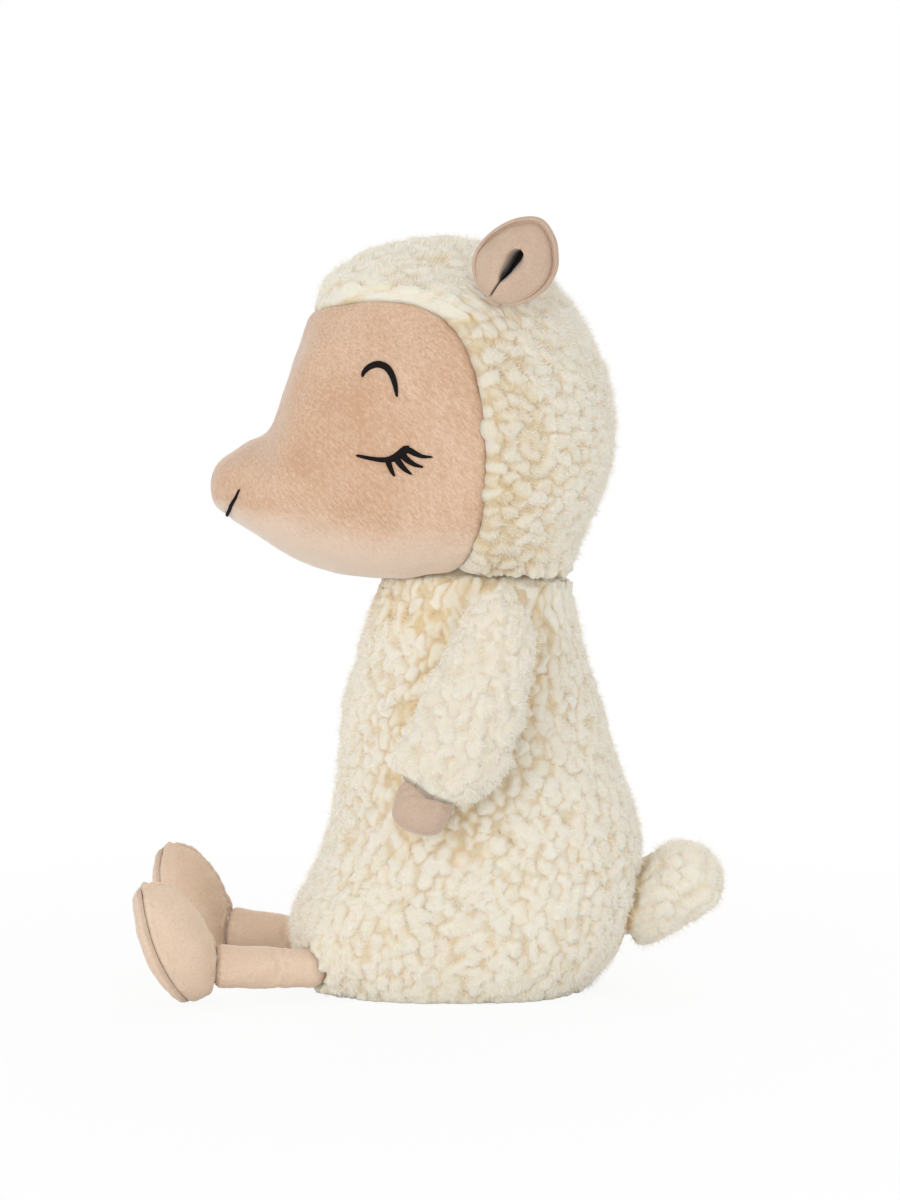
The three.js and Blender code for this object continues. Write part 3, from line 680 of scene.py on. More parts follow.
class Cloth:
    """A new material, or the world's light, whose nodes are added one call at a time."""

    def __init__(self, name, world=None):
        self.material = world or bpy.data.materials.new(name)
        self.material.use_nodes = True
        self.tree = self.material.node_tree
        self.tree.nodes.clear()

    def add(self, kind, settings=None, values=None):
        """Adds a node, sets its own settings first, then its sockets by name or number."""
        node = self.tree.nodes.new(kind)
        for key, value in (settings or {}).items():
            setattr(node, key, value)
        for key, value in (values or {}).items():
            socket = node.inputs[key]
            if isinstance(value, Amount):
                self.tree.links.new(value.socket, socket)
            elif isinstance(value, bpy.types.NodeSocket):
                self.tree.links.new(value, socket)
            elif isinstance(value, tuple) and len(value) == 3 and socket.type == "RGBA":
                socket.default_value = (*value, 1.0)
            else:
                socket.default_value = value
        return node

    def place(self, scale=(1.0, 1.0, 1.0), turn=(0.0, 0.0, 0.0)):
        """Object coordinates, turned and then stretched."""
        source = self.add("ShaderNodeTexCoord").outputs["Object"]
        spun = self.add("ShaderNodeVectorRotate", {"rotation_type": "EULER_XYZ"}, {
            "Vector": source, "Rotation": turn,
        })
        stretched = self.add("ShaderNodeVectorMath", {"operation": "MULTIPLY"}, {
            0: spun.outputs[0], 1: scale,
        })
        return stretched.outputs[0]

    def noise(self, where, size, detail=3.0, roughness=0.5, distortion=0.0):
        """Noise from 0 to 1 whose lumps are about that size in metres."""
        node = self.add("ShaderNodeTexNoise", {"noise_dimensions": "3D"}, {
            "Vector": where, "Scale": 1.0 / size, "Detail": detail, "Roughness": roughness,
            "Distortion": distortion,
        })
        return Amount(self, node.outputs[0])

    def mark(self, name):
        """A number stored on the piece's own points."""
        node = self.add("ShaderNodeAttribute", {"attribute_name": name})
        return Amount(self, node.outputs["Fac"])

    def mix(self, share, first, second, blend="MIX"):
        """Two colours mixed by a share."""
        settings = {"data_type": "RGBA", "blend_type": blend, "clamp_factor": True}
        return self.add("ShaderNodeMix", settings, {0: share, 6: first, 7: second}).outputs[2]

    def raise_by(self, height, distance, strength):
        """Relief of that height in metres."""
        values = {"Strength": strength, "Distance": distance, "Height": height}
        return self.add("ShaderNodeBump", {}, values).outputs["Normal"]

    def finish(self, colour, roughness, normal, **constants):
        """The closing shader; what is the same all over is set on its own sockets."""
        values = {"Base Color": colour, "Roughness": roughness, "Normal": normal}
        for name, value in constants.items():
            values[name.replace("_", " ").title().replace("Ior", "IOR")] = value
        shader = self.add("ShaderNodeBsdfPrincipled", {}, values)
        self.add("ShaderNodeOutputMaterial", {}, {"Surface": shader.outputs[0]})
        return self.material


def fleece_cloth(settings):
    """Curly fleece: cream on the curls and, as painted shade, warm beige in the creases, over a fine crimped
    fibre bump.
    Bare backing is tan. So is fleece whose height share is lowered to paint shade, and the darkening mark
    darkens a piece further."""
    cloth = Cloth("curly fleece")
    where = cloth.place()
    share = cloth.mark("pile")
    tone = cloth.mark("tone")
    patches = cloth.noise(where, 0.026, 2.0)
    fibres = cloth.noise(where, 0.0011, 4.0, 0.65, 1.6)
    # Painted shade: where the height share is low, in the creases, the colour turns to the darker, warmer
    # hollow colours
    deep = (share + (patches - 0.5) * 0.2 + (fibres - 0.5) * 0.16).step(0.34, 0.81)
    warmth = (patches + (tone - 0.5) * 0.5).step(0.35, 0.72)
    hollows = cloth.mix(warmth, tuple(settings.hollow), tuple(settings.warm))
    creaminess = (tone * 0.5 + (patches - 0.5) * 0.9 + 0.2).held()
    curls = cloth.mix(creaminess, tuple(settings.curl), tuple(settings.cream))
    colour = cloth.mix(deep, hollows, curls)
    # Below a height share of about a quarter the colour turns to the tan of bare backing: real on bare
    # backing, painted shade where the share was lowered to paint it
    backing, shade = linear(196, 160, 118), linear(232, 229, 225)
    colour = cloth.mix(share.step(0.0, 0.26), backing, colour)
    # The darkening mark multiplies the colour by a light grey: painted shade on the hood, and an even
    # darkening of the sleeves
    colour = cloth.mix(cloth.mark("dull"), colour, shade, "MULTIPLY")
    normal = cloth.raise_by(fibres, 0.0008, 0.6)
    return cloth.finish(
        colour, 0.95, normal, sheen_weight=0.3, sheen_roughness=0.5,
        subsurface_weight=0.5, subsurface_radius=(0.006, 0.0042, 0.0027), subsurface_scale=1.0,
    )


def fibre_cloth(settings):
    """Single fibres of the fleece, too fine for a pattern."""
    cloth = Cloth("fleece fibre")
    shader = cloth.add("ShaderNodeBsdfPrincipled", {}, {
        "Base Color": tuple(settings.fibre), "Roughness": 0.9, "Sheen Weight": 0.3,
        "Specular IOR Level": 0.2,
    })
    cloth.add("ShaderNodeOutputMaterial", {}, {"Surface": shader.outputs[0]})
    return cloth.material


def velour_cloth(name, colour, pale, settings, turn, combed):
    """Short pile: mottled by the way the nap is brushed, with fine slanting streaks and dark seams.
    A mark that pales the nap paints light where it is high and shade where it falls below zero, and seam
    marks above one paint the deep shade of a slit near-black."""
    cloth = Cloth(name)
    where = cloth.place()
    brushed = cloth.noise(where, 0.018, 3.0, 0.55, 0.6)
    broad = cloth.noise(where, 0.05, 1.0)
    streaks = cloth.noise(cloth.place((1.0, 1.0, 0.36), turn), 0.001, 3.0, 0.65, 0.3)
    pile = cloth.noise(where, 0.0009, 3.0, 0.75)
    seam = cloth.mark("seam")
    nap = (
        (streaks - 0.5) * (1.7 * combed) + (brushed - 0.5) * 0.7 + (pile - 0.5) * 1.1 + (broad - 0.5) * 0.6
    )
    raised = cloth.mark("raised")
    # Painted light and shade: the mark that pales the nap brightens the tint where it is high and darkens it
    # below zero, and the pale tint adds more painted light
    tint = cloth.mix((nap + raised * 0.6 + 0.42).held(), tuple(colour), tuple(pale))
    pale_tint, seam_and_slit_shade, slit = linear(228, 212, 197), tuple(0.42 * c for c in colour), linear(30, 21, 18)
    tint = cloth.mix((raised * 0.55).held(), tint, pale_tint)
    # Seam marks darken the seams; down the ear's slit they rise past one and paint its shade near-black
    shaded = cloth.mix((seam * 0.55).held(), tint, seam_and_slit_shade)
    shaded = cloth.mix(seam.step(0.85, 1.25), shaded, slit)
    height = streaks * combed + pile * 0.6 + brushed * 0.4
    normal = cloth.raise_by(height, 0.0005, settings.nap)
    return cloth.finish(
        shaded, 0.9, normal,
        sheen_weight=0.7, sheen_roughness=0.32, sheen_tint=(1.0, 0.96, 0.92, 1.0),
        subsurface_weight=0.06, subsurface_radius=(0.003, 0.0015, 0.001), subsurface_scale=1.0,
    )


def thread_cloth(settings):
    """Satin stitch: near-black brown with a soft gloss and fine thread ridges."""
    cloth = Cloth("satin stitch thread")
    strand = cloth.noise(cloth.place(), 0.0003, 2.0)
    colour = cloth.mix(strand, tuple(settings.thread), tuple(1.5 * c for c in settings.thread))
    return cloth.finish(colour, 0.75, cloth.raise_by(strand, 0.0001, 0.4), specular_ior_level=0.15)


def stuffing_cloth():
    """Polyester stuffing: white fibres in soft clumps."""
    cloth = Cloth("polyester stuffing")
    where = cloth.place()
    clumps = cloth.noise(where, 0.009, 4.0, 0.6, 1.5)
    colour = cloth.mix(clumps, linear(226, 222, 214), linear(248, 247, 243))
    return cloth.finish(colour, 1.0, cloth.raise_by(clumps, 0.002, 0.6), sheen_weight=0.3)


def pouch_cloth():
    """Plain cotton weave of a pellet bag."""
    cloth = Cloth("cotton pouch")
    across, along = (
        Amount(cloth, cloth.add("ShaderNodeTexWave", {"bands_direction": way}, {
            "Vector": cloth.place(), "Scale": 420.0, "Distortion": 0.6,
        }).outputs["Fac"])
        for way in ("X", "Y")
    )
    weave = across * along
    colour = cloth.mix(weave, linear(190, 180, 160), linear(224, 217, 202))
    return cloth.finish(colour, 0.9, cloth.raise_by(weave, 0.0003, 0.5), sheen_weight=0.1)


MATERIALS = {}
# Name of each velour, the turn of its nap and how strongly it is combed
VELOURS = {
    "limb": ("limb velour", (0.9, 0.0, 0.0), 0.3),
    # The ear and paw velour is the limbs' velour coloured darker: painted shade
    "small": ("ear and paw velour", (0.9, 0.0, 0.0), 0.3),
    "face": ("face velour", (-0.75, 0.0, 0.0), 1.0),
}


def material(name, make):
    """Makes a cloth once and hands out the same one afterwards."""
    if name not in MATERIALS:
        MATERIALS[name] = make()
    return MATERIALS[name]


def fleece_material(scene):
    return material("fleece", lambda: fleece_cloth(scene.sheep_fleece))


def fibre_material(scene):
    return material("fibre", lambda: fibre_cloth(scene.sheep_fleece))


def velour_material(scene, kind):
    """The velour of one kind of piece, with that kind's two colours."""
    velour = scene.sheep_velour
    name, lie, combed = VELOURS[kind]
    colour, pale = getattr(velour, kind), getattr(velour, f"{kind}_pale")
    return material(kind, lambda: velour_cloth(name, colour, pale, velour, lie, combed))


# ---- Settings -----------------------------------------------------------------------------

def colour_setting(name, description, default):
    """A colour that the panel shows."""
    return bpy.props.FloatVectorProperty(
        name=name, description=description, default=default, size=3, subtype="COLOR", min=0.0, max=1.0
    )


def number_setting(name, description, default, **more):
    """A number from 0 up that the panel shows."""
    return bpy.props.FloatProperty(name=name, description=description, default=default, min=0.0, **more)


def length_setting(name, description, default):
    """A length in metres that the panel shows."""
    return number_setting(name, description, default, unit="LENGTH")


class FleeceSettings(bpy.types.PropertyGroup):
    """Size and colour of the curls."""

    spacing: length_setting("Curl spacing", "Least distance between two curls", 0.0046)
    height: length_setting("Curl height", "How far a curl stands up from the backing", 0.0042)
    grain: length_setting("Mesh grain", "Distance between the points of the fleece surface", 0.0008)
    # The two hollow colours are painted shade: they colour the creases between the curls darker and warmer
    # than the curls
    hollow: colour_setting("Hollows", "Colour deep between the curls", linear(229, 211, 177))
    warm: colour_setting(
        "Warm hollows", "Colour of the warmer patches between the curls", linear(233, 210, 168))
    curl: colour_setting("Curls", "Colour on top of the curls", linear(244, 238, 225))
    fibre: colour_setting("Fibre colour", "Colour of the loose fibres", linear(250, 246, 236))
    fibres: number_setting("Fibre count", "Loose fibres in a square metre", 7e5)
    fibre_length: length_setting("Fibre length", "Length of the longest loose fibres", 0.003)
    fibre_width: length_setting("Fibre width", "Thickness of a loose fibre at its root", 0.0002)
    cream: colour_setting("Cream curls", "Colour on top of the creamier curls", linear(241, 232, 212))


class VelourSettings(bpy.types.PropertyGroup):
    """Colours and nap of the smooth pieces."""

    face: colour_setting("Face", "Colour of the face", linear(199, 159, 128))
    # The nap colours serve the brushed nap, and also the painted light where the face looks down
    face_pale: colour_setting(
        "Face nap", "Colour of the face where its nap is brushed up", linear(227, 200, 176))
    limb: colour_setting("Limbs", "Colour of legs and feet", linear(215, 186, 160))
    limb_pale: colour_setting(
        "Limb nap", "Colour of the limbs where the nap is brushed up", linear(239, 217, 196))
    # Ears and paws are the same velour as the limbs, coloured darker as painted shade
    small: colour_setting("Ears and paws", "Colour of ears and paws", linear(186, 159, 137))
    small_pale: colour_setting(
        "Ear and paw nap", "Colour of ears and paws where the nap is brushed up", linear(213, 190, 170))
    nap: number_setting("Nap", "Strength of the nap's relief", 0.5, subtype="FACTOR", max=1.0)


class ThreadSettings(bpy.types.PropertyGroup):
    """The embroidery."""

    thread: colour_setting("Thread", "Colour of the embroidery", linear(18, 12, 10))
    rise: length_setting("Rise", "How far the stitching stands up from the face", 0.0007)
    stitch: length_setting("Stitch", "Width of one thread", 0.00045)


class StageSettings(bpy.types.PropertyGroup):
    """Camera, lamps and floor."""

    distance: length_setting("Camera distance", "From the camera to the middle of the sheep", 1.24)
    elevation: bpy.props.FloatProperty(
        name="Camera height", description="Angle of the camera above the horizon",
        default=math.radians(4.0), subtype="ANGLE", unit="ROTATION")
    aim: bpy.props.FloatVectorProperty(
        name="Aim", description="Point that the camera looks at",
        default=(0.0, (6.6 + SHIFT) * MM, 0.15245), size=3, subtype="XYZ", unit="LENGTH")
    lens: number_setting("Lens", "Focal length in millimetres", 94.5)
    key: number_setting("Key lamp", "Power of the large soft lamp", 6.0, unit="POWER")
    fill: number_setting("Fill lamp", "Power of the lamps that open the shadows", 2.0, unit="POWER")
    sky: number_setting("Room light", "Strength of the light from all around", 0.68)


# ---- Pieces -------------------------------------------------------------------------------

def grain_of(scene):
    return scene.sheep_fleece.grain / MM * 1.0


def backing_depth(scene, name):
    """How far the fleece's backing lies under the outside of its pattern piece."""
    share, more = BACKING[name]
    return scene.sheep_fleece.height / MM * share + more


def body_grid(sink, grain):
    """The body's backing: base rows drawn in under the seat panel, the body rows, then the round
    shoulder dome, and how much pile each point carries."""
    columns = int(BODY_REACH[0] / grain)
    a = angles(columns)

    def ring(t, a):
        return body_form(t, a, sink)

    t = even_rows(ring, int(BODY_REACH[1] / grain))
    rows = ring(t[:, None], a[None, :])
    rows[..., 2] = rows[..., 2] - sink * (1 - smooth(rows[..., 2], 0, 40))
    centre = np.array(NECK["centre"])
    dome_radius = NECK["radius"] - sink
    base = math.asin((BODY["height"] - centre[2]) / NECK["radius"])
    lift = base + (math.pi / 2 * 0.985 - base) * np.linspace(0.02, 1, int(DOME_REACH / grain))
    dome = np.stack([
        np.cos(lift)[:, None] * np.sin(a) * dome_radius,
        centre[1] + np.cos(lift)[:, None] * np.cos(a) * dome_radius,
        centre[2] + np.sin(lift)[:, None] * dome_radius + 0 * a,
    ], -1)
    edge = rows[-1]
    ease = 1 - smooth(np.linspace(0, DOME_REACH, len(lift)), 0, 8)[:, None]
    start = np.append(dome[0, :, :2], np.full((columns, 1), edge[0, 2]), 1)
    dome = dome + (edge - start)[None] * ease[..., None]
    seat = body_form(np.zeros(1)[:, None], a[None, :], 0)[0]
    middle = seat.mean(0)
    inset = BODY["inset"] - GAP
    inner = middle + (seat - middle) * (1 - inset / np.linalg.norm(seat - middle, axis=1).mean())
    under = np.stack([
        np.column_stack([
            middle[0] + (inner[:, 0] - middle[0]) * s, middle[1] + (inner[:, 1] - middle[1]) * s,
            np.full(columns, z),
        ])
        for s, z in UNDER_ROWS
    ])
    grid = np.concatenate([under, rows, dome])
    pile = np.concatenate([np.zeros(len(under)), np.ones(len(rows)), np.ones(len(dome))])[:, None]
    pile = pile * np.ones(columns)
    pile[len(under):len(under) + 4] *= np.linspace(0.3, 1, 4)[:, None]
    return grid, pile * (1 - 0.75 * smooth(grid[..., 2], *UNDER_HOOD))


def fitted_body(out, normals, on_dome):
    """The fleece fitted to its neighbours: kept inside the neck's ball, tufted at the collar, heaped up
    round the hips, pressed in at hips and tail, and cut flat where an arm swings past."""
    centre = np.array(NECK["centre"])
    far = np.linalg.norm(out - centre, axis=-1, keepdims=True)
    kept = centre + (out - centre) * np.minimum(1, (NECK["radius"] - 0.2) / far)
    out = np.where(on_dome[..., None], kept, out)
    collar = bump(out[..., 2] - BODY["height"] + 1, 5) * smooth(out[..., 1], *BEHIND_NECK)
    tufts = np.clip(1 + 0.4 * ripple(out, 5.5, 12), 0, 2)
    out = out + (collar * tufts)[..., None] * COLLAR_TUFTS
    for side in (1, -1):
        hip = (side * LEG["out"], LEG["back"], LEG["up"])
        around = np.linalg.norm(out - hip, axis=-1)
        behind = smooth(out[..., 1] - LEG["back"], -0.5, 5.5)
        rim = bump(np.maximum(around - LEG["hip"] - 3, 0), 4.5) * behind
        out = out + normals * (5.0 * rim * (0.8 + 0.2 * ripple(out, 5.0, 13)))[..., None]
        out = pressed(out, normals, hip, LEG["hip"] + PRESSED["hip"])
        tilt = math.radians(ARM["lean"])
        plane = np.array([side * math.cos(tilt), 0, math.sin(tilt)])
        pivot = np.array([side * ARM["out"], ARM["back"], ARM["up"]])
        over = ((out - pivot) * plane).sum(-1)
        near = np.linalg.norm((out - pivot) * (0, 1, 1), axis=-1) < ARM_SWEEP
        out = out - plane * (np.maximum(over, 0) * near * (side * out[..., 0] > 0))[..., None]
    out = pressed(out, normals, (0, TAIL["back"], TAIL["up"]), TAIL["root"] + PRESSED["tail"])
    out[..., 2] = np.maximum(out[..., 2], 0.25)
    return out


def beside_arm(out):
    """Distance of the body's points from the arm's line, seen from the side."""
    slope = math.radians(ARM["forward"])
    arm_line = np.array([-math.sin(slope), -math.cos(slope)])
    from_shoulder = out[..., 1:] - (ARM["back"], ARM["up"])
    down = np.clip((from_shoulder * arm_line).sum(-1), 0, ARM["length"] - 22)
    return np.linalg.norm(from_shoulder - down[..., None] * arm_line, axis=-1)


def build_body(scene):
    """The body: curls on its backing, fitted to its neighbours, with shade painted beside the arms, round
    the tail's root and under the chin."""
    grid, pile = body_grid(backing_depth(scene, "body"), grain_of(scene))

    def tufted(places):
        return 1 + 1.8 * smooth(places[:, 2], 122, 150)

    settings = scene.sheep_fleece
    out, share, tone, normals = fleece_surface(grid, settings, pile, CURL_SEEDS["body"], downwards, tufted)
    out = fitted_body(out, normals, grid[..., 2] > DOME_START)
    beside = beside_arm(out)
    # Painted shade: beside each arm, where the arm shades the body, the fleece is coloured deeper
    arm_shade = 0.65 * bump(np.maximum(beside - 19, 0), 7) * smooth(np.abs(out[..., 0]), 14, 28)
    from_tail = np.linalg.norm(out - (0, TAIL["back"], TAIL["up"] + 2), axis=-1)
    # Painted shade round the tail's root: the height share falls, which colours the crease where the tail
    # meets the body tan
    share = share * (1 - 0.9 * bump(np.maximum(from_tail - 15, 0), 4))
    # Painted shade under the chin, at the top of the body in front of the neck
    chin = 0.8 * smooth(out[..., 2], 134, 150) * (1 - smooth(out[..., 1], 15, 42))
    share = with_painted_shade(share, np.maximum(arm_shade, chin))
    piece = mesh_object("body_fleece_cover", out, {"pile": share, "tone": tone})
    tail_room = np.linalg.norm(out - (0, TAIL["back"], TAIL["up"]), axis=-1)
    bare = pile * (out[..., 2] > 2) * (out[..., 2] < 153) * (from_pair(out, LEG) > FIBRE_FREE["hip"])
    bare = bare * (tail_room > FIBRE_FREE["tail"])
    bare = bare * ((beside > FIBRE_FREE["arm"]) | (np.abs(out[..., 0]) < 16))
    loose_fibres(scene, "body_fleece_fibres", out, bare, downwards, "body")
    return dress(piece, fleece_material(scene), "body", ["body_fleece"])


def build_seat_panel(scene):
    """The seat: an oval panel with a rolled edge, its underside hollowed a little towards the middle."""
    a = angles(120)
    seat = body_form(np.zeros(1)[:, None], a[None, :], 0)[0]
    middle = seat.mean(0)
    inset = BODY["inset"] + 0.4
    outline = (seat - middle) * (1 - inset / np.linalg.norm(seat - middle, axis=1).mean())
    under = [(r, 0.25 + 0.5 * r ** 6) for r in np.linspace(0.02, 0.97, 30)]
    over = [(r, 3.0 - 0.6 * r ** 6) for r in np.linspace(0.97, 0.02, 20)]
    profile = [*under, (0.995, 1.2), (1.0, 1.7), (0.995, 2.2), *over]
    grid = np.stack([
        np.column_stack([middle[0] + outline[:, 0] * r, middle[1] + outline[:, 1] * r, np.full(len(a), z)])
        for r, z in profile
    ])
    radius = np.array([r for r, _ in profile])[:, None] * np.ones(len(a))
    lumps = 0.15 * ripple(grid, 14, 71) * (1 - radius ** 4)
    grid[..., 2] = np.maximum(grid[..., 2] + lumps, 0.05)
    piece = mesh_object("seat_panel", grid, {"seam": smooth(radius, 0.955, 1.0)})
    return dress(piece, velour_material(scene, "limb"), "body", ["body_base"])


def build_hood(scene):
    """The hood: from the nape along each meridian to the face seam, round its edge and back inside."""
    grain = grain_of(scene)
    columns = int(HOOD_REACH[0] / grain)
    a = angles(columns)
    seam = seam_rows(a)
    shares = np.linspace(0, 1, int(HOOD_REACH[1] / grain))
    depth = backing_depth(scene, "hood")
    outer, edge = head_rows(a, shares, seam, np.full(columns, 0.9995), -depth)
    inner, _ = head_rows(a, np.linspace(0, 1, 14), seam, np.full(columns, 0.999), -3.0)
    crown = smooth(
        outer[..., 2], HEAD["chin"] + 0.7 * HEAD["height"], HEAD["chin"] + 0.85 * HEAD["height"])
    pile = smooth(edge, -1.5, 4.5 + 8 * crown)
    socket = np.linalg.norm(outer - np.array(NECK["centre"]), axis=-1)
    pile = pile * smooth(socket, NECK["radius"] - 1.0, NECK["radius"] + 3.0)
    near_seam = np.array([0, HEAD["nose"] + 0.42 * HEAD["length"], HEAD["chin"] + 0.45 * HEAD["height"]])

    def combed(places):
        return 1 + 2.2 * (1 - smooth(np.linalg.norm(places - near_seam, axis=1), 52, 74))

    settings = scene.sheep_fleece
    out, share, tone, normals = fleece_surface(outer, settings, pile, CURL_SEEDS["hood"], backwards, combed)
    forward = unit(np.gradient(outer, axis=0)) * -1
    out = out + forward * (2.2 * bump(edge, 3.2) * share * (0.35 + tone))[..., None]
    out = out - normals * (1.2 * (1 - smooth(edge, 0, 1.6)))[..., None]
    # Painted shade: below the crown and towards the face seam, the hood's sides are coloured darker, by
    # lower height shares and by the darkening mark
    share = with_painted_shade(share, 0.5 * bump(edge - 8, 14) * (1 - crown))
    dull = 0.6 * (1 - crown) * bump(edge, 31)
    out = hood_hem(out, edge)
    for side in (1, -1):
        root = (side * EAR["out"], EAR["back"], EAR["up"])
        out = pressed(out, normals, root, EAR_STEM + PRESSED["ear"])
    out = rounded_socket(out, NECK["centre"], NECK["radius"] + GAP)
    inner = rounded_socket(inner, NECK["centre"], NECK["radius"] + LINING_GAP)
    bare = pile * (edge > 1.0) * (out[..., 2] > HEAD["chin"] + 7)
    bare = bare * (from_pair(out, EAR) > FIBRE_FREE["ear"]) * (socket > NECK["radius"] + 6)
    loose_fibres(scene, "hood_fleece_fibres", out, bare, backwards, "head")
    zeros = np.zeros(inner.shape[:2])
    marks = {"pile": share, "tone": tone, "dull": dull}
    piece = mesh_object(
        "hood_fleece_cover", np.concatenate([out[::-1], inner]),
        {name: np.concatenate([values[::-1], zeros]) for name, values in marks.items()},
        outward=-facing(outer, normals_of(outer)),
    )
    return dress(piece, fleece_material(scene), "head", ["hood_fleece"])


def hood_hem(out, edge):
    """The hood's hem: tufts that hang out and down over the collar, at the nape and all round."""
    nape = bump(out[..., 2] - HEAD["chin"] - 7, 9) * smooth(out[..., 1], *BEHIND_NECK)
    tufts = np.clip(1 + 0.25 * ripple(out, 8.0, 24), 0.3, 1.6)
    out = out + (nape * tufts)[..., None] * NAPE_TUFTS
    out[..., 2] -= 2.8 * nape * smooth(out[..., 1], 42, 54)
    from_neck = np.hypot(out[..., 0], out[..., 1] - NECK["centre"][1])
    low = bump(out[..., 2] - HEAD["chin"] - 4, 4.5)
    skirt = low * smooth(from_neck, 33, 41) * smooth(edge, 2, 8)
    skirt = skirt * np.clip(0.95 + 0.3 * ripple(out, 7.0, 25), 0, 2)
    away = (out - NECK["centre"]) * (1, 1, 0) / np.maximum(from_neck, 1)[..., None]
    return out + skirt[..., None] * (1.2 * away + (0, 0, -2.7))


def stroke_lines():
    """Centre lines of the embroidery on the left half of the face, 60 points each, and their widths."""
    share = np.linspace(0, 1, 60)
    lines = {}
    for name, (places, widths) in STROKES.items():
        line = rows_at([(y + SHIFT, z, w) for (y, z), w in zip(places, widths)], share)
        lines[name] = (face_point(line[:, 0], line[:, 1]), line[:, 2])
    return lines


def face_point(y, z):
    """The left surface point of the head at a place back and up: its ring solved for the angle."""
    rows = rows_at(HEAD_ROWS, np.linspace(0, 1, 2000))
    back = (y - HEAD["nose"]) / HEAD["length"]
    up = (z - HEAD["chin"]) / HEAD["height"]
    top, bottom, width, under = (np.interp(back, rows[:, 0], rows[:, n]) for n in (1, 2, 3, 4))
    widest = bottom + (top - bottom) * HEAD_WIDEST
    power = np.where(up > widest, 1, 1 - under * HEAD_SQUARE)
    level = np.clip(np.abs(up - widest) / np.where(up > widest, top - widest, widest - bottom), 0, 1)
    x = (1 - level ** (2 / power)) ** (power / 2) * width * (HEAD["width"] / 2)
    return np.stack([x, y, z], -1)


def nose_line():
    """The nose stitch, from the left side of the snout round its front to the right side."""
    share = np.linspace(0, 1, 50)
    places, widths = NOSE_STITCH
    line = rows_at([(x, z, w) for (x, z), w in zip(places, widths)], share)
    y = snout_front(line[:, 0], line[:, 1])
    half = np.stack([line[:, 0], y, line[:, 1]], -1)
    mirrored = half[-2::-1] * (-1, 1, 1)
    return np.vstack([half, mirrored]), np.concatenate([line[:, 2], line[-2::-1, 2]])


def snout_front(x, z):
    """How far forward the snout reaches at a place across and up: the first ring that holds it."""
    t = np.linspace(0, 0.5, 900)
    back, top, bottom, width, under = rows_at(HEAD_ROWS, t).T[:, :, None]
    widest = bottom + (top - bottom) * HEAD_WIDEST
    up = (z[None] - HEAD["chin"]) / HEAD["height"]
    power = np.where(up > widest, 1, 1 - under * HEAD_SQUARE)
    tallest = np.maximum(np.where(up > widest, top - widest, widest - bottom), 1e-9)
    level = np.abs(up - widest) / tallest
    across = np.abs(x[None]) / (width * HEAD["width"] / 2)
    holds = level ** (2 / power) + across ** (2 / power) <= 1
    first = np.argmax(holds, axis=0)
    return HEAD["nose"] + back[first, 0] * HEAD["length"]


def face_lumps(points):
    """Height of the soft stuffed lumps of the face."""
    return ripple(points, 30.0, 32) * 0.3 + ripple(points, 13.0, 33) * 0.12


def face_relief(points, normals, length, whole):
    """Dents along the stitching, a tuck at the seam, small puckers beside it, the fold of the mouth and
    soft stuffed lumps."""
    flat = points.reshape(-1, 3)
    dent = np.zeros(len(flat))
    folded = np.column_stack([np.abs(flat[:, 0]), flat[:, 1:]])
    for line, width in [*stroke_lines().values(), nose_line()]:
        on_left = line[:, 0] >= -1e-6
        line, width = line[on_left], width[on_left]
        near = np.where((np.abs(folded - line.mean(0)) < 24).all(1))[0]
        distance = np.linalg.norm(folded[near][:, None] - line[None], axis=2)
        groove = bump(np.maximum(distance - width[None] / 2, 0), 1.6).max(1)
        dent[near] = np.maximum(dent[near], groove)
    dent = dent.reshape(points.shape[:2])
    from_seam = whole - length
    tuck = bump(from_seam, 2.4)
    puckers = ripple(points, 5.0, 31) * bump(from_seam - 2.5, 4.0) * 0.28
    lumps = face_lumps(points)
    mouth = 0.5 * bump(points[..., 2] - (HEAD["chin"] + 4 + 0.25 * (points[..., 1] + 10)), 1.6)
    mouth = mouth * smooth(points[..., 1], -22, -8) * smooth(-points[..., 1], -6, 2)
    return points + normals * (lumps + puckers - 0.42 * dent - 2.0 * tuck - mouth)[..., None]


def build_face(scene):
    """The face: from the nose along each meridian to the seam, round its edge and back inside."""
    columns, rows = ((300, 190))
    a = angles(columns)
    seam = seam_rows(a)
    nose = np.zeros(columns)
    outer, length = head_rows(a, np.linspace(0, 1, rows), nose, seam, 0.0)
    inner, _ = head_rows(a, np.linspace(0.06, 0.985, 24), nose, seam, -2.2)
    normals = outward_normals(outer)
    whole = length[-1][None]
    out = face_relief(outer, normals, length, whole)
    out = rounded_socket(out, NECK["centre"], NECK["radius"] + GAP)
    inner = rounded_socket(inner, NECK["centre"], NECK["radius"] + LINING_GAP)
    # Painted light: where the face looks down it is coloured paler, standing for light from the white floor;
    # the shade patches then paint it darker
    raised = smooth(-normals[..., 2], 0.25, 0.9)
    for back, up, size, depth in SHADE_PATCHES:
        raised = raised - depth * bump(np.hypot(outer[..., 1] - back, outer[..., 2] - up), size)
    zeros = np.zeros(inner.shape[:2])
    marks = {"seam": 0.7 * bump(whole - length, 1.2), "raised": raised}
    piece = mesh_object(
        "face_velour_cover", np.concatenate([out, inner[::-1]]),
        {name: np.concatenate([values, zeros]) for name, values in marks.items()},
        outward=facing(outer, normals_of(outer)),
    )
    return dress(piece, velour_material(scene, "face"), "head", ["face_panel"])


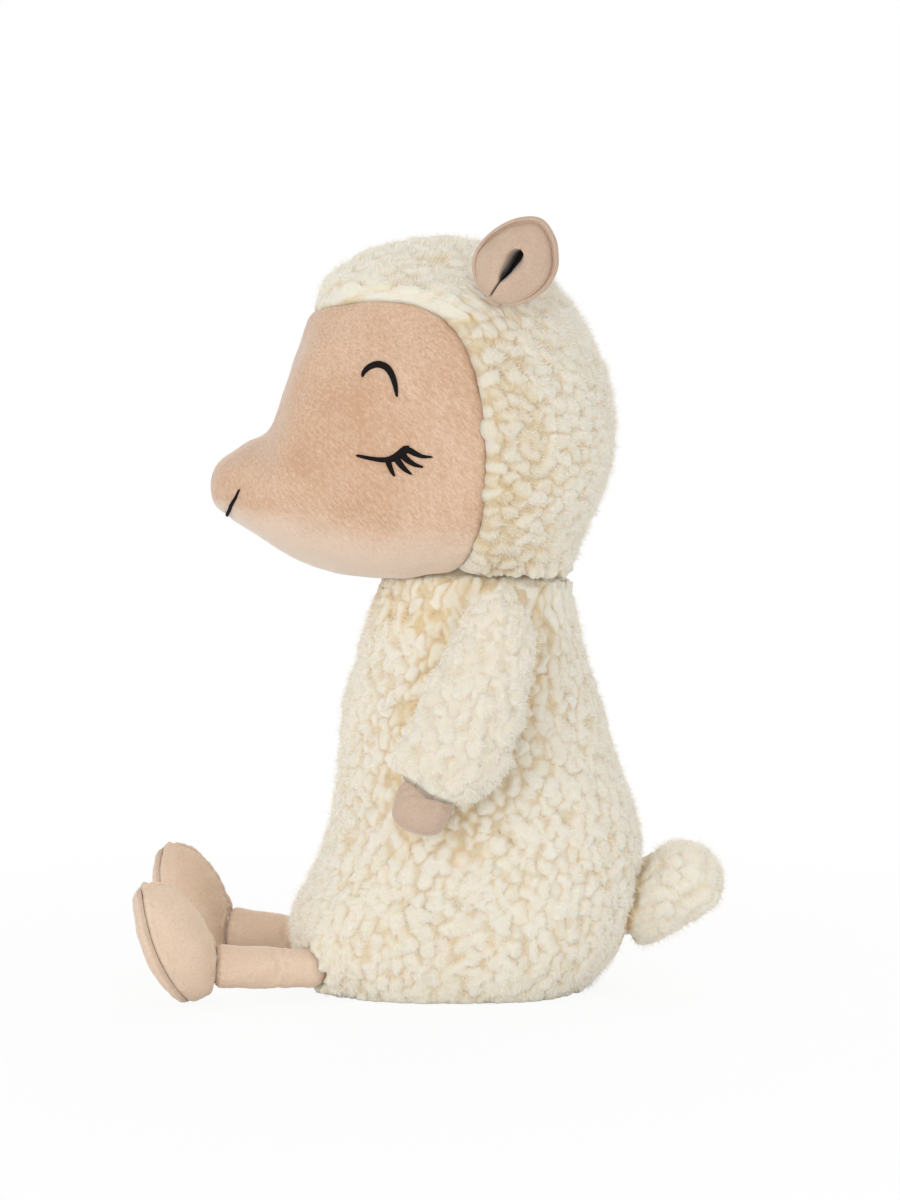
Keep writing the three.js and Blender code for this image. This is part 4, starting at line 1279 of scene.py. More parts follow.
def ribbon(name, line, width, settings, side=1):
    """A satin stitched stroke: an arch across the line, ridged once for each thread."""
    step = settings.stitch / MM / 4
    length = np.concatenate([[0], np.cumsum(np.linalg.norm(np.diff(line, axis=0), axis=1))])
    at = np.linspace(0, length[-1], max(12, int(length[-1] / step)))
    points = np.stack([np.interp(at, length, line[:, k]) for k in range(3)], -1)
    wide = np.interp(at, length, width) * 1.12
    ends = np.minimum(at, at[-1] - at)
    wide = wide * np.sqrt(np.clip(ends / (0.5 * wide + 0.05), 0.02, 1))
    along = unit(np.gradient(points, axis=0))
    out = surface_normals(points)
    aside = unit(np.cross(out, along))
    turn = angles(16)
    ridge = 0.5 + 0.5 * np.cos(at / (settings.stitch / MM) * TURN)
    rise = settings.rise / MM * (0.55 + 0.45 * np.clip(wide / 2, 0, 1))
    lift = np.maximum(np.sin(turn), -0.9)[None] * (rise * (0.86 + 0.14 * ridge))[:, None] - 0.2
    lift = lift + face_lumps(points * (side, 1, 1))[:, None]
    spread = np.cos(turn)[None] * (wide / 2 * (0.96 + 0.04 * ridge))[:, None]
    grid = points[:, None] + aside[:, None] * spread[..., None] + out[:, None] * lift[..., None]
    return mesh_object(name, grid, {})


def surface_normals(points):
    """Outward directions of the head near points on it, from the slopes between small steps either way:
    over the snout's front for a line that crosses the middle, and otherwise over the left side."""
    step = 0.4
    steps = ((step, 0), (-step, 0), (0, step), (0, -step))
    x, y, z = points[:, 0], points[:, 1], points[:, 2]
    ones = np.ones(len(points))
    crosses = np.ptp(np.sign(x)) > 0
    if crosses:
        reach = [snout_front(x + dx, z + dz) for dx, dz in steps]
    else:
        reach = [face_point(y + dy, z + dz)[:, 0] for dy, dz in steps]
    across, up = (reach[0] - reach[1]) / (2 * step), (reach[2] - reach[3]) / (2 * step)
    return unit(np.stack([across, -ones, up] if crosses else [ones, -across, -up], -1))


def build_embroidery(scene):
    """Brow, closed eye with lashes and nose stitch, each stroke a ribbon on the face."""
    settings = scene.sheep_thread
    thread = material("thread", lambda: thread_cloth(settings))
    lines = stroke_lines()
    groups = {"brow": ["brow"], "closed_eye": [name for name in lines if name != "brow"]}
    for label, side in SIDES:
        for group, names in groups.items():
            strokes = [ribbon(f"{name}_{label}", *lines[name], settings, side) for name in names]
            if side < 0:
                for stroke in strokes:
                    flip_across(stroke)
            piece = joined(f"{group}_stitch_{label}", strokes) if len(strokes) > 1 else strokes[0]
            piece.name = f"{group}_stitch_{label}"
            dress(piece, thread, "head")
    dress(ribbon("nose_stitch", *nose_line(), settings), thread, "head")


def flip_across(piece):
    """Mirrors a piece to the sheep's other side, with its faces turned back outwards."""
    mesh = piece.data
    place = np.empty(len(mesh.vertices) * 3, np.float32)
    mesh.vertices.foreach_get("co", place)
    place[0::3] *= -1
    mesh.vertices.foreach_set("co", place)
    mesh.flip_normals()
    mesh.update()


def arm_place(points, side):
    """From the arm's own place to the shoulder, swung forward and leaned out."""
    spun = turned(points, (-ARM["forward"], -side * ARM["lean"], 0), "YXZ")
    return spun + (side * ARM["out"], ARM["back"], ARM["up"])


def hem_rise(a):
    """How far the sleeve's hem is drawn up at the front of the wrist."""
    return 4.0 * smooth(-np.cos(a), -0.2, 1)


def sleeve_form(t, a, side, sink):
    """Ring t of the sleeve: an oval whose width, thickness and set-back come from the arm's rows."""
    down, width, thickness, back = np.moveaxis(rows_at(ARM_ROWS, t), -1, 0)
    rise = hem_rise(a) * smooth(down, 0.8, 1)
    x = side * ARM["thickness"] / 2 + np.sin(a) * thickness * (ARM["thickness"] / 2 - sink)
    y = back * ARM["width"] + np.cos(a) * width * (ARM["width"] / 2 - sink) - 0.75 * rise
    return np.stack([x, y, ARM["top"] - sink - down * (SLEEVE_LENGTH - 2 * sink) + rise], -1)


def paw_ring(down, width, thickness, a, side, grow=0.0):
    """An oval ring of the paw, from shares of its length, width and thickness."""
    x = side * ARM["thickness"] / 2 + np.sin(a) * thickness * (ARM["paw_thickness"] / 2 + grow)
    y = -ARM["paw_forward"] + np.cos(a) * width * (ARM["paw_width"] / 2 + grow)
    return np.stack([x, y, ARM["top"] - SLEEVE_LENGTH - down * (ARM["paw_length"] + grow) + 0 * x], -1)


def build_sleeve(scene, label, side):
    """The fleece sleeve: its rows down to the wrist, turned in round the paw."""
    arm = f"arm_{label}"
    grain = grain_of(scene)
    sink = backing_depth(scene, "sleeve")
    seat = side * ARM["thickness"] / 2
    columns = int(SLEEVE_REACH[0] / grain)
    a = angles(columns)

    def form(t, a):
        return sleeve_form(t, a, side, sink)

    t = even_rows(form, int(SLEEVE_REACH[1] / grain), 0.004)
    rows = form(t[:, None], a[None, :])
    pile = 1 - 0.55 * smooth(-side * (rows[..., 0] - seat), 6, 13)
    out, share, tone, _ = fleece_surface(
        rows, scene.sheep_fleece, pile, CURL_SEEDS[arm], downwards, None, 0.34)
    turned_in = ((0.1, 0.9), (0.0, 0.86), (-0.3, 0.72), (-0.66, 0.6), (-0.68, 0.3), (-0.68, 0.05))
    hem = [paw_ring(down, width, width, a, side, GAP + 0.5) for down, width in turned_in]
    for ring, rise in zip(hem, (1, 1, 0.9, 0.6)):
        ring[:, 2] += rise * hem_rise(a)
    hem[0] = 0.45 * hem[0] + 0.55 * rows[-1]
    # The side against the body is flattened just outside the plane that both swing past
    from_body = side * out[..., 0]
    flattened = side * (GAP - 0.25 + 0.25 * np.exp(np.clip(from_body - GAP, -9, 0) / 3))
    out[..., 0] = np.where(from_body < GAP, flattened, out[..., 0])
    # The sleeve's creases take less painted shade than the body's
    share = 1 - 0.68 * (1 - share)
    bare = pile * (side * (rows[..., 0] - seat) > -3) * (rows[..., 2] > ARM["top"] - SLEEVE_LENGTH + 4)
    loose_fibres(scene, f"{arm}_sleeve_fibres", arm_place(out, side), bare, downwards, arm)
    grid = arm_place(np.concatenate([out, np.stack(hem)]), side)
    plain = np.full((len(hem), columns), 0.4)
    # The darkening mark darkens the whole sleeve evenly
    piece = mesh_object(f"{arm}_sleeve_cover", grid, {
        "pile": np.concatenate([share, plain]), "tone": np.concatenate([tone, plain]),
        "dull": np.full(grid.shape[:2], 0.3),
    })
    return dress(piece, fleece_material(scene), arm, [f"{arm}_sleeve"])


def build_paw(scene, label, side):
    """The velour paw: ovals from inside the sleeve to its tip, with a seam on its front and back."""
    arm = f"arm_{label}"
    a = angles(96)

    def form(t, a):
        down, width, thickness = np.moveaxis(rows_at(PAW_ROWS, t), -1, 0)
        return paw_ring(down, width, thickness, a, side)

    t = even_rows(form, 64)
    skin = form(t[:, None], a[None, :])
    down = rows_at(PAW_ROWS, t)[:, 0][:, None] + 0 * a
    edge = bump(np.sin(a)[None] * (ARM["paw_thickness"] / 2), 0.9) * smooth(down, -0.1, 0.2)
    folds = ripple(skin, 4.5, 43) * 0.25 * bump(down - 0.05, 0.28)
    lumps = ripple(skin, 11.0, 44) * 0.18
    skin = skin + outward_normals(skin) * (lumps + folds - 0.45 * edge)[..., None]
    # The paw's nap is a little paler all over
    marks = {"seam": 0.55 * edge, "raised": 0.16 + 0 * edge}
    piece = mesh_object(f"{arm}_paw_cover", arm_place(skin, side), marks)
    return dress(piece, velour_material(scene, "small"), arm, [f"{arm}_paw"])


def leg_place(points, side):
    """From the leg's own place to the hip, splayed outwards and raised a little."""
    spun = turned(points, (-LEG["rise_left" if side > 0 else "rise_right"], 0, side * LEG["splay"]), "ZXY")
    return spun + (side * LEG["out"], LEG["back"], LEG["up"])


def sole_frame():
    """The sole's middle, and the directions up along it and out of it."""
    tilt = math.radians(FOOT["tilt"])
    sole_up = np.array([0, -math.sin(tilt), math.cos(tilt)])
    sole_out = np.array([0, -math.cos(tilt), -math.sin(tilt)])
    return np.array([0, -LEG["length"] - FOOT["depth"], FOOT["rise"]]), sole_up, sole_out


def foot_upper(t, a, inset=0.0):
    """The upper: each line is a cubic Hermite curve from the sole's oval edge to the ankle's ring."""
    middle, sole_up, sole_out = sole_frame()
    start = middle + np.cos(a)[..., None] * (FOOT["length"] / 2 - inset) * sole_up
    start = start + np.sin(a)[..., None] * (FOOT["width"] / 2 - inset) * np.array([1, 0, 0])
    start = start + (FOOT["bow"] * np.sin(a) ** 2)[..., None] * sole_out
    radius = LEG["diameter"] / 2 - inset
    end = np.stack([np.sin(a) * radius, np.full(a.shape, -LEG["length"] - GAP), np.cos(a) * radius], -1)
    span = np.linalg.norm(start - end, axis=-1, keepdims=True) * FOOT["instep"]
    leave = -sole_out * span
    arrive = unit(np.stack([-np.sin(a), np.full(a.shape, FOOT["ankle"]), -np.cos(a)], -1)) * span
    t = t[..., None]
    return (
        start * (2 * t ** 3 - 3 * t ** 2 + 1) + leave * (t ** 3 - 2 * t ** 2 + t)
        + end * (3 * t ** 2 - 2 * t ** 3) + arrive * (t ** 3 - t ** 2)
    )


def foot_sole(lean, a):
    """The sole: an oval cap whose radius is the cosine and whose bulge is the sine of the lean."""
    middle, sole_up, sole_out = sole_frame()
    spread = np.cos(lean) ** 0.85
    out = GAP + np.sin(lean) * FOOT["bulge"] + FOOT["bow"] * np.sin(a) ** 2 * spread
    return (
        middle + (np.cos(a) * spread)[..., None] * FOOT["length"] / 2 * sole_up
        + (np.sin(a) * spread)[..., None] * FOOT["width"] / 2 * np.array([1, 0, 0])
        + out[..., None] * sole_out
    )


def build_tube(label, side, velour):
    """Hip ball and tube: a profile turned about the leg's line, creased at the hip and puckered at the
    ankle, with a seam along its underside."""
    a = angles(96)
    reach = np.linspace(-LEG["hip"] + 0.02, LEG["length"] - 0.1, 120)
    profile = rows_at(LEG_ROWS, np.linspace(0, 1, 200)).T
    tube = np.interp(np.clip(reach / LEG["length"], 0, 1), *profile) * LEG["diameter"] / 2
    ball = np.sqrt(np.maximum(LEG["hip"] ** 2 - reach ** 2, 0.0))
    ankle = bump(reach - LEG["length"], 1.1)
    radius = np.maximum(ball, tube * (reach > 0)) - 0.9 * ankle
    grid = np.stack([
        np.sin(a)[None] * radius[:, None], -reach[:, None] + 0 * a, np.cos(a)[None] * radius[:, None]
    ], -1)
    normals = outward_normals(grid)
    out_of_body = smooth(reach, 4, 10)[:, None]
    creases = 0.3 * ripple(grid * (0.6, 1, 0.6), 4.0, 51) * bump(reach - 9, 6)[:, None]
    gathers = 0.22 * np.sin(a * 17 + ripple(grid, 9, 52) * 2)
    puckers = gathers * bump(reach - LEG["length"] + 1.5, 2.5)[:, None]
    lumps = 0.2 * ripple(grid, 10, 53)
    underside = bump(np.sin(a)[None] * LEG["diameter"] / 2, 0.8) * (np.cos(a)[None] < 0) * out_of_body
    grid = grid + normals * ((creases + puckers + lumps) * out_of_body - 0.3 * underside)[..., None]
    seam = np.clip(0.5 * ankle[:, None] + 0.3 * underside, 0, 1)
    piece = mesh_object(f"leg_{label}_tube_cover", leg_place(grid, side), {"seam": seam + 0 * a})
    return dress(piece, velour, f"leg_{label}", [f"leg_{label}_tube"])


def build_foot_panel(label, side, panel, hand, velour):
    """One side panel of the foot: half of the upper, tucked in at its seams and rolled beside them, and
    wrapped into one strip with an inner skin."""
    t = np.linspace(0, 1, 90)
    gap = 0.012
    b = np.linspace(gap, math.pi - gap, 110)
    angle = b if hand > 0 else TURN - b
    place = t[:, None] + 0 * b, angle[None] + 0 * t[:, None]
    faces, inside = foot_upper(*place), foot_upper(*place, 1.5)
    normals = normals_of(faces, wrap=False)
    outward = facing(faces, normals)
    row_length = np.linalg.norm(np.diff(faces, axis=0), axis=-1).sum(0)[None]
    from_sole, from_ankle = t[:, None] * row_length, (1 - t[:, None]) * row_length
    step = np.linalg.norm(np.diff(faces, axis=1), axis=-1)
    from_ridge = np.concatenate([np.zeros((len(t), 1)), np.cumsum(step, 1)], 1)
    from_heel = from_ridge[:, -1:] - from_ridge
    tuck = (
        0.5 * bump(from_sole, 0.8) + 0.6 * bump(from_ankle, 0.9)
        + 0.4 * bump(from_ridge, 0.6) + 0.4 * bump(from_heel, 0.7)
    )
    roll = 0.35 * (bump(from_ridge - 1.9, 1.1) + bump(from_sole - 2.2, 1.3) + bump(from_heel - 1.9, 1.1))
    puckers = 0.2 * ripple(faces, 3.2, 54) * (
        bump(from_sole - 2, 2.2) + bump(from_ankle - 2, 2.6) + bump(from_ridge - 2, 2.2)
    )
    lumps = 0.22 * ripple(faces, 12, 55 + (hand > 0))
    outer = faces + normals * outward * (roll + puckers + lumps - tuck)[..., None]
    seam = np.clip(
        0.7 * bump(from_sole, 0.5) + 0.6 * bump(from_ankle, 0.6)
        + 0.35 * bump(from_ridge, 0.4) + 0.35 * bump(from_heel, 0.5), 0, 0.8,
    )
    strip = np.concatenate([outer, inside[:, ::-1]], axis=1)
    marks = {"seam": np.concatenate([seam, seam[:, ::-1] * 0], axis=1)}
    piece = mesh_object(f"foot_{label}_{panel}_cover", leg_place(strip, side), marks, outward=outward)
    return dress(piece, velour, f"leg_{label}", [f"foot_{label}_{panel}_panel"])


def build_sole(label, side, velour):
    """The sole: a flat back and a bulging front that meet at its rim."""
    rows = 10
    lean = np.linspace(0, math.pi / 2 * 0.985, 60)
    a = angles(150)
    front = foot_sole(lean[:, None] + 0 * a, a[None] + 0 * lean[:, None])
    back = foot_sole(np.zeros((rows, len(a))), a[None] + np.zeros((rows, 1)))
    middle = back.mean((0, 1))
    back = middle + (back - middle) * np.linspace(0.02, 0.985, rows)[:, None, None] + np.array([0, 0.05, 0])
    normals = normals_of(front)
    outwards = unit(front.mean((0, 1)) - middle)
    normals = normals * (1.0 if (normals.mean((0, 1)) * outwards).sum() > 0 else -1.0)
    rim = (1 - np.cos(lean))[:, None] * FOOT["width"] / 2 + 0 * a
    low = 0.25 * bump(rim, 0.7)
    puckers = 0.2 * ripple(front, 3.4, 57) * bump(rim - 1.8, 2.2)
    front = front + normals * (0.2 * ripple(front, 12, 58) + puckers - low)[..., None]
    seam = np.concatenate([np.zeros((rows, len(a))), 0.6 * bump(rim, 0.5)])
    grid = np.concatenate([back, front])
    piece = mesh_object(f"foot_{label}_sole_cover", leg_place(grid, side), {"seam": seam})
    return dress(piece, velour, f"leg_{label}", [f"foot_{label}_sole"])


def build_leg(scene, label, side):
    """One leg: its tube, the two side panels of its foot and the sole."""
    velour = velour_material(scene, "limb")
    build_tube(label, side, velour)
    build_foot_panel(label, side, "outer", side, velour)
    build_foot_panel(label, side, "inner", -side, velour)
    build_sole(label, side, velour)


def ear_place(points, side):
    """From the ear's own place to its root on the hood, leaned back and turned out."""
    spun = turned(points, (-EAR["lean_back"], side * EAR["lean_out"], -side * EAR["turn"]), "ZYX")
    return spun + (side * EAR["out"], EAR["back"], EAR["up"])


def disc(count):
    """Points of a unit disc in even rows and columns: a square grid bulged into a circle."""
    u, v = np.meshgrid(np.linspace(-1, 1, count), np.linspace(-1, 1, count), indexing="ij")
    return u * np.sqrt(1 - v * v / 2), v * np.sqrt(1 - u * u / 2)


def ear_reach(angle):
    """The ear's radius at an angle from its top towards the back, a closed curve through the outline."""
    table = np.array(EAR_OUTLINE)
    place = np.mod(angle, TURN) / TURN * len(table)
    k = place.astype(int)
    near = (table[(k + n) % len(table)] for n in (-1, 0, 1, 2))
    return EAR["radius"] * between(*near, place - k)


def ear_lens(rim, front, back, count, side, border):
    """A closed lens over the ear's outline, whose front and back heights are functions of the disc's
    place and meet at one height along the border."""
    u, v = disc(count)
    radius = np.hypot(u, v)
    angle = np.arctan2(u, v)
    reach = ear_reach(angle) - rim * np.sqrt(0.5 + 0.5 * np.cos(angle))
    y, z = np.sin(angle) * radius * reach, EAR["radius"] + np.cos(angle) * radius * reach
    faces = []
    for level in (front, back):
        height = side * level(np.clip(radius, 0, 1), y, z)
        faces.append(np.stack([np.where(radius >= 0.999, side * border, height), y, z], -1))
    return faces, radius


def lens_object(name, faces, seam, side):
    """Two square grids that share their border, the front and the back of a lens, as one mesh whose
    front carries the seam's marks."""
    count = faces[0].shape[0]
    index = np.arange(count * count).reshape(count, count)
    border = np.zeros((count, count), bool)
    border[0] = border[-1] = border[:, 0] = border[:, -1] = True
    second = index + count * count
    second[border] = index[border]
    points = ear_place(np.concatenate([faces[0].reshape(-1, 3), faces[1].reshape(-1, 3)]), side)

    def quads(grid, flip):
        q = np.stack([grid[:-1, :-1], grid[1:, :-1], grid[1:, 1:], grid[:-1, 1:]], -1).reshape(-1, 4)
        return q[:, ::-1] if flip else q

    corners = np.concatenate([quads(index, side < 0), quads(second, side > 0)])
    used = np.zeros(len(points), bool)
    used[corners.ravel()] = True
    renumber = np.cumsum(used) - 1
    flat = np.concatenate([seam.ravel(), 0 * seam.ravel()])[used]
    return put_mesh(name, points[used], renumber[corners].tolist(), {"seam": flat})


def ear_shell(label, side):
    """The ear's outer cloth: a shallow cup with a rolled rim, and a soft back."""
    def hollow(radius, y, z):
        depth = (EAR["depth"] - 0.9) * np.sqrt(np.clip(1 - (radius / 0.8) ** 2.4, 0, 1))
        return -depth + 1.5 * bump(radius - 0.94, 0.06)

    def behind(radius, y, z):
        lumps = 0.25 * ripple(np.stack([y, z, y * 0], -1), 9, 61)
        return -EAR["depth"] * np.sqrt(np.clip(1 - radius ** 2.4, 0, 1)) + lumps

    faces, radius = ear_lens(0.0, hollow, behind, 110, side, 0.2)
    return lens_object(f"ear_{label}_shell_cover", faces, 0.2 * bump(radius - 0.9, 0.03), side)


def ear_slit(y, z):
    """The slit down the ear's lining: the height on it, the distance beside it, and two bells across
    it, a steep one for its depth and an even one for its shade."""
    up = z - EAR["radius"]
    middle = -0.2 - 0.07 * np.maximum(-up, 0)
    above = np.sqrt(np.clip(1 - ((up - 1.5) / 4.2) ** 2, 0, 1))
    wide = 0.3 + 1.8 * np.where(up > 1.5, above, np.clip((up + 8.5) / 10, 0, 1) ** 0.62)
    across = (y - middle) / wide
    return up, np.abs(y - middle) - wide, np.exp(-np.abs(across) ** 3.5), np.exp(-0.5 * across ** 2)


def ear_lining(label, side):
    """The ear's lining: a puffed lens folded in along the slit, with a flat back inside the shell."""
    def puffed(radius, y, z):
        up, beside, shape, _ = ear_slit(y, z)
        lobe = 4.4 * np.clip(1 - radius ** 4.0, 0, 1) ** 0.6
        deep = 8.8 * smooth(up, -10, -4) * (1 - smooth(up, 4.4, 6.2)) + 1.6 * smooth(-up, 2, 8)
        roll = 1.3 * bump(beside - 3.0, 3.4) * (1 - smooth(up, 2, 10))
        fold = 0.5 * bump(np.hypot(y + 0.2, up - 7.5) - 3.0, 1.4) * smooth(up, 2, 6)
        return lobe + roll - deep * shape - fold + 0.16 * ripple(np.stack([y, z, y * 0], -1), 8, 62)

    def flat_back(radius, y, z):
        return -4.6 * np.sqrt(np.clip(1 - radius ** 2, 0, 1)) - 0.1

    faces, radius = ear_lens(2.7, puffed, flat_back, 170, side, -0.3)
    faces[1][..., 0] = side * np.minimum(side * faces[1][..., 0], side * faces[0][..., 0] - 0.15)
    up, _, _, shade = ear_slit(faces[0][..., 1], faces[0][..., 2])
    # Painted shade: down the slit the seam mark rises past one, which colours it near-black
    slit_shade_reach = 1.5 * smooth(up, -10, -5) * (1 - smooth(up, 3.4, 8)) + 1.2 * smooth(-up, 3, 9)
    seam = np.clip(0.2 * bump(radius - 1.0, 0.03) + shade * slit_shade_reach, 0, 1.6)
    return lens_object(f"ear_{label}_lining_cover", faces, seam, side)


def ear_root(label, side):
    """The ear's pinched root: a flattened stem with a round end in the hood."""
    a = angles(40)
    up = np.linspace(-1.3, 4.0, 30)
    stem = EAR_STEM * np.sqrt(np.clip(1 - (np.minimum(up, 0) / 1.32) ** 2, 0, 1))
    x = np.sin(a)[None] * stem[:, None] * 0.55 - side * 0.8
    grid = np.stack([x, np.cos(a)[None] * stem[:, None], up[:, None] + 0 * a], -1)
    return mesh_object(f"ear_{label}_root", ear_place(grid, side), {"seam": 0.2 + 0 * grid[..., 0]})


def build_ear(scene, label, side):
    """One ear: its cupped shell with the root, and its lining."""
    ear = f"ear_{label}"
    velour = velour_material(scene, "small")
    shell, lining, root = ear_shell(label, side), ear_lining(label, side), ear_root(label, side)
    dress(joined(f"{ear}_shell_cover", [shell, root]), velour, ear, [f"{ear}_shell"])
    dress(lining, velour, ear, [f"{ear}_lining"])


def build_tail(scene):
    """The tail: rows of rings from the root out, with curls, kept behind the body's back."""
    grain = grain_of(scene)
    sink = backing_depth(scene, "tail")

    def form(t, a):
        back, girth = np.moveaxis(rows_at(TAIL_ROWS, t), -1, 0)
        x = np.sin(a) * girth * (TAIL["diameter"] / 2 - sink)
        z = np.cos(a) * girth * (TAIL["diameter"] / 2 - sink)
        return np.stack([x, sink + back * (TAIL["length"] - 2 * sink) + 0 * x, z], -1)

    a = angles(int(TAIL_REACH[0] / grain))
    t = even_rows(form, int(TAIL_REACH[1] / grain), 0.0, 0.998)
    rows = form(t[:, None], a[None])
    pile = np.ones(rows.shape[:2]) * smooth(np.arange(len(t)), 0, 6)[:, None]
    out, share, tone, _ = fleece_surface(
        rows, scene.sheep_fleece, pile, CURL_SEEDS["tail"], backwards, None, 0.3)
    out = turned(out, (TAIL["rise"], 0, 0), "XYZ") + (0, TAIL["back"], TAIL["up"])
    limit = body_back(out[..., 0], out[..., 2]) - 2.0
    eased = limit - 0.3 * (1 - np.exp(-(limit - out[..., 1]) / 4))
    out[..., 1] = np.where(out[..., 1] < limit, eased, out[..., 1])
    loose_fibres(scene, "tail_fleece_fibres", out, pile * (out[..., 1] > limit + 6), backwards, "tail")
    # The tail's creases take less painted shade than the body's
    share = 1 - 0.75 * (1 - share)
    # Painted shade at the tail's root, where it lies against the body
    share = share * (1 - 0.7 * bump(np.maximum(out[..., 1] - limit - 0.5, 0), 2.5))
    piece = mesh_object("tail_fleece_cover", out, {"pile": share, "tone": tone})
    return dress(piece, fleece_material(scene), "tail", ["tail_fleece"])


def build_stuffing(scene):
    """Inner pieces: each plain solid rounded off, kept inside its cloth."""
    inner = {
        "body_filling": "body", "neck_filling": "neck", "head_filling": "head", "tail_filling": "tail",
        "arm_left_filling": "arm_left", "arm_right_filling": "arm_right",
        "leg_left_filling": "leg_left", "leg_right_filling": "leg_right", "pellet_pouch": "body",
    }
    stuffing = material("stuffing", stuffing_cloth)
    cotton = material("pouch", pouch_cloth)
    for node, body in inner.items():
        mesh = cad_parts[node].data.copy()
        piece = bpy.data.objects.new(f"{node}_wad", mesh)
        bpy.context.scene.collection.objects.link(piece)
        weld = piece.modifiers.new("Weld", "WELD")
        weld.merge_threshold = MM / 100
        soften = piece.modifiers.new("Subdivision", "SUBSURF")
        soften.levels = soften.render_levels = 1
        mesh.shade_smooth()
        cloth, slot = (cotton, "pellet_pouch") if node == "pellet_pouch" else (stuffing, "filling")
        dress(piece, cloth, body, [node])


# ---- Operators ----------------------------------------------------------------------------

class SHEEP_OT_body(bpy.types.Operator):
    """Makes the fleece body and its seat panel"""

    bl_idname = "sheep.body"
    bl_label = "Body"

    def execute(self, context):
        build_body(context.scene)
        build_seat_panel(context.scene)
        return {"FINISHED"}


class SHEEP_OT_head(bpy.types.Operator):
    """Makes the fleece hood and the velour face"""

    bl_idname = "sheep.head"
    bl_label = "Head"

    def execute(self, context):
        build_hood(context.scene)
        build_face(context.scene)
        return {"FINISHED"}


class SHEEP_OT_embroidery(bpy.types.Operator):
    """Stitches the brows, the closed eyes and the nose"""

    bl_idname = "sheep.embroidery"
    bl_label = "Embroidery"

    def execute(self, context):
        build_embroidery(context.scene)
        return {"FINISHED"}


class SHEEP_OT_arms(bpy.types.Operator):
    """Makes both fleece sleeves and velour paws"""

    bl_idname = "sheep.arms"
    bl_label = "Arms"

    def execute(self, context):
        for label, side in SIDES:
            build_sleeve(context.scene, label, side)
            build_paw(context.scene, label, side)
        return {"FINISHED"}


class SHEEP_OT_legs(bpy.types.Operator):
    """Makes both velour legs with their shoe-shaped feet"""

    bl_idname = "sheep.legs"
    bl_label = "Legs"

    def execute(self, context):
        for label, side in SIDES:
            build_leg(context.scene, label, side)
        return {"FINISHED"}


class SHEEP_OT_ears(bpy.types.Operator):
    """Makes both folded velour ears"""

    bl_idname = "sheep.ears"
    bl_label = "Ears"

    def execute(self, context):
        for label, side in SIDES:
            build_ear(context.scene, label, side)
        return {"FINISHED"}


class SHEEP_OT_tail(bpy.types.Operator):
    """Makes the fleece tail"""

    bl_idname = "sheep.tail"
    bl_label = "Tail"

    def execute(self, context):
        build_tail(context.scene)
        return {"FINISHED"}


class SHEEP_OT_stuffing(bpy.types.Operator):
    """Makes the stuffing and the pellet pouch inside"""

    bl_idname = "sheep.stuffing"
    bl_label = "Stuffing"

    def execute(self, context):
        build_stuffing(context.scene)
        return {"FINISHED"}


# Each lamp: its place in metres, the setting and the share of it that give its power, and its size
LAMPS = {
    "key lamp": ((1.3, -0.5, 0.42), "key", 1.0, 1.1),
    "fill lamp": ((0.9, 0.85, 0.25), "fill", 1.0, 1.0),
    "front lamp": ((0.75, -1.0, 0.2), "fill", 0.7, 0.8),
    "back lamp": ((-0.9, 0.2, 0.8), "fill", 1.7, 0.9),
}


class SHEEP_OT_stage(bpy.types.Operator):
    """Sets the floor, the lamps, the room light and the camera"""

    bl_idname = "sheep.stage"
    bl_label = "Stage"

    def execute(self, context):
        scene = context.scene
        settings = scene.sheep_stage
        ground = bpy.data.meshes.new("floor")
        half = 6.0
        corners = [(-half, -half, 0), (half, -half, 0), (half, half, 0), (-half, half, 0)]
        ground.from_pydata(corners, [], [(0, 1, 2, 3)])
        floor = bpy.data.objects.new("floor", ground)
        scene.collection.objects.link(floor)
        floor.data.materials.append(floor_paint())
        scene.world = bpy.data.worlds.new("room")
        light_room(scene.world, settings.sky)
        aim = np.array(settings.aim)
        for name, (place, source, share, size) in LAMPS.items():
            data = bpy.data.lights.new(name, "AREA")
            data.energy = getattr(settings, source) * share
            data.shape = "DISK"
            data.size = size
            lamp = bpy.data.objects.new(name, data)
            lamp.location = place
            lamp.rotation_euler = look(np.array(place), aim)
            scene.collection.objects.link(lamp)
        camera = bpy.data.cameras.new("camera")
        camera.lens = settings.lens
        camera.sensor_width = 36.0
        camera.sensor_fit = "AUTO"
        camera.clip_start, camera.clip_end = 0.05, 50.0
        view = bpy.data.objects.new("camera", camera)
        way = np.array([math.cos(settings.elevation), 0, math.sin(settings.elevation)])
        place = aim + settings.distance * way
        view.location = place
        view.rotation_euler = look(place, aim)
        scene.collection.objects.link(view)
        scene.camera = view
        scene.view_settings.view_transform = "Standard"
        return {"FINISHED"}


def look(place, aim):
    """Rotation that points a lamp or camera at a place."""
    return (Vector(aim) - Vector(place)).to_track_quat("-Z", "Y").to_euler()


def seen_white(cloth):
    """1 for the camera's rays and those that gloss or glass sends on, and otherwise 0."""
    rays = cloth.add("ShaderNodeLightPath").outputs
    camera, glossy, through = (
        Amount(cloth, rays[f"Is {kind} Ray"]) for kind in ("Camera", "Glossy", "Transmission")
    )
    return (camera + glossy + through).held()


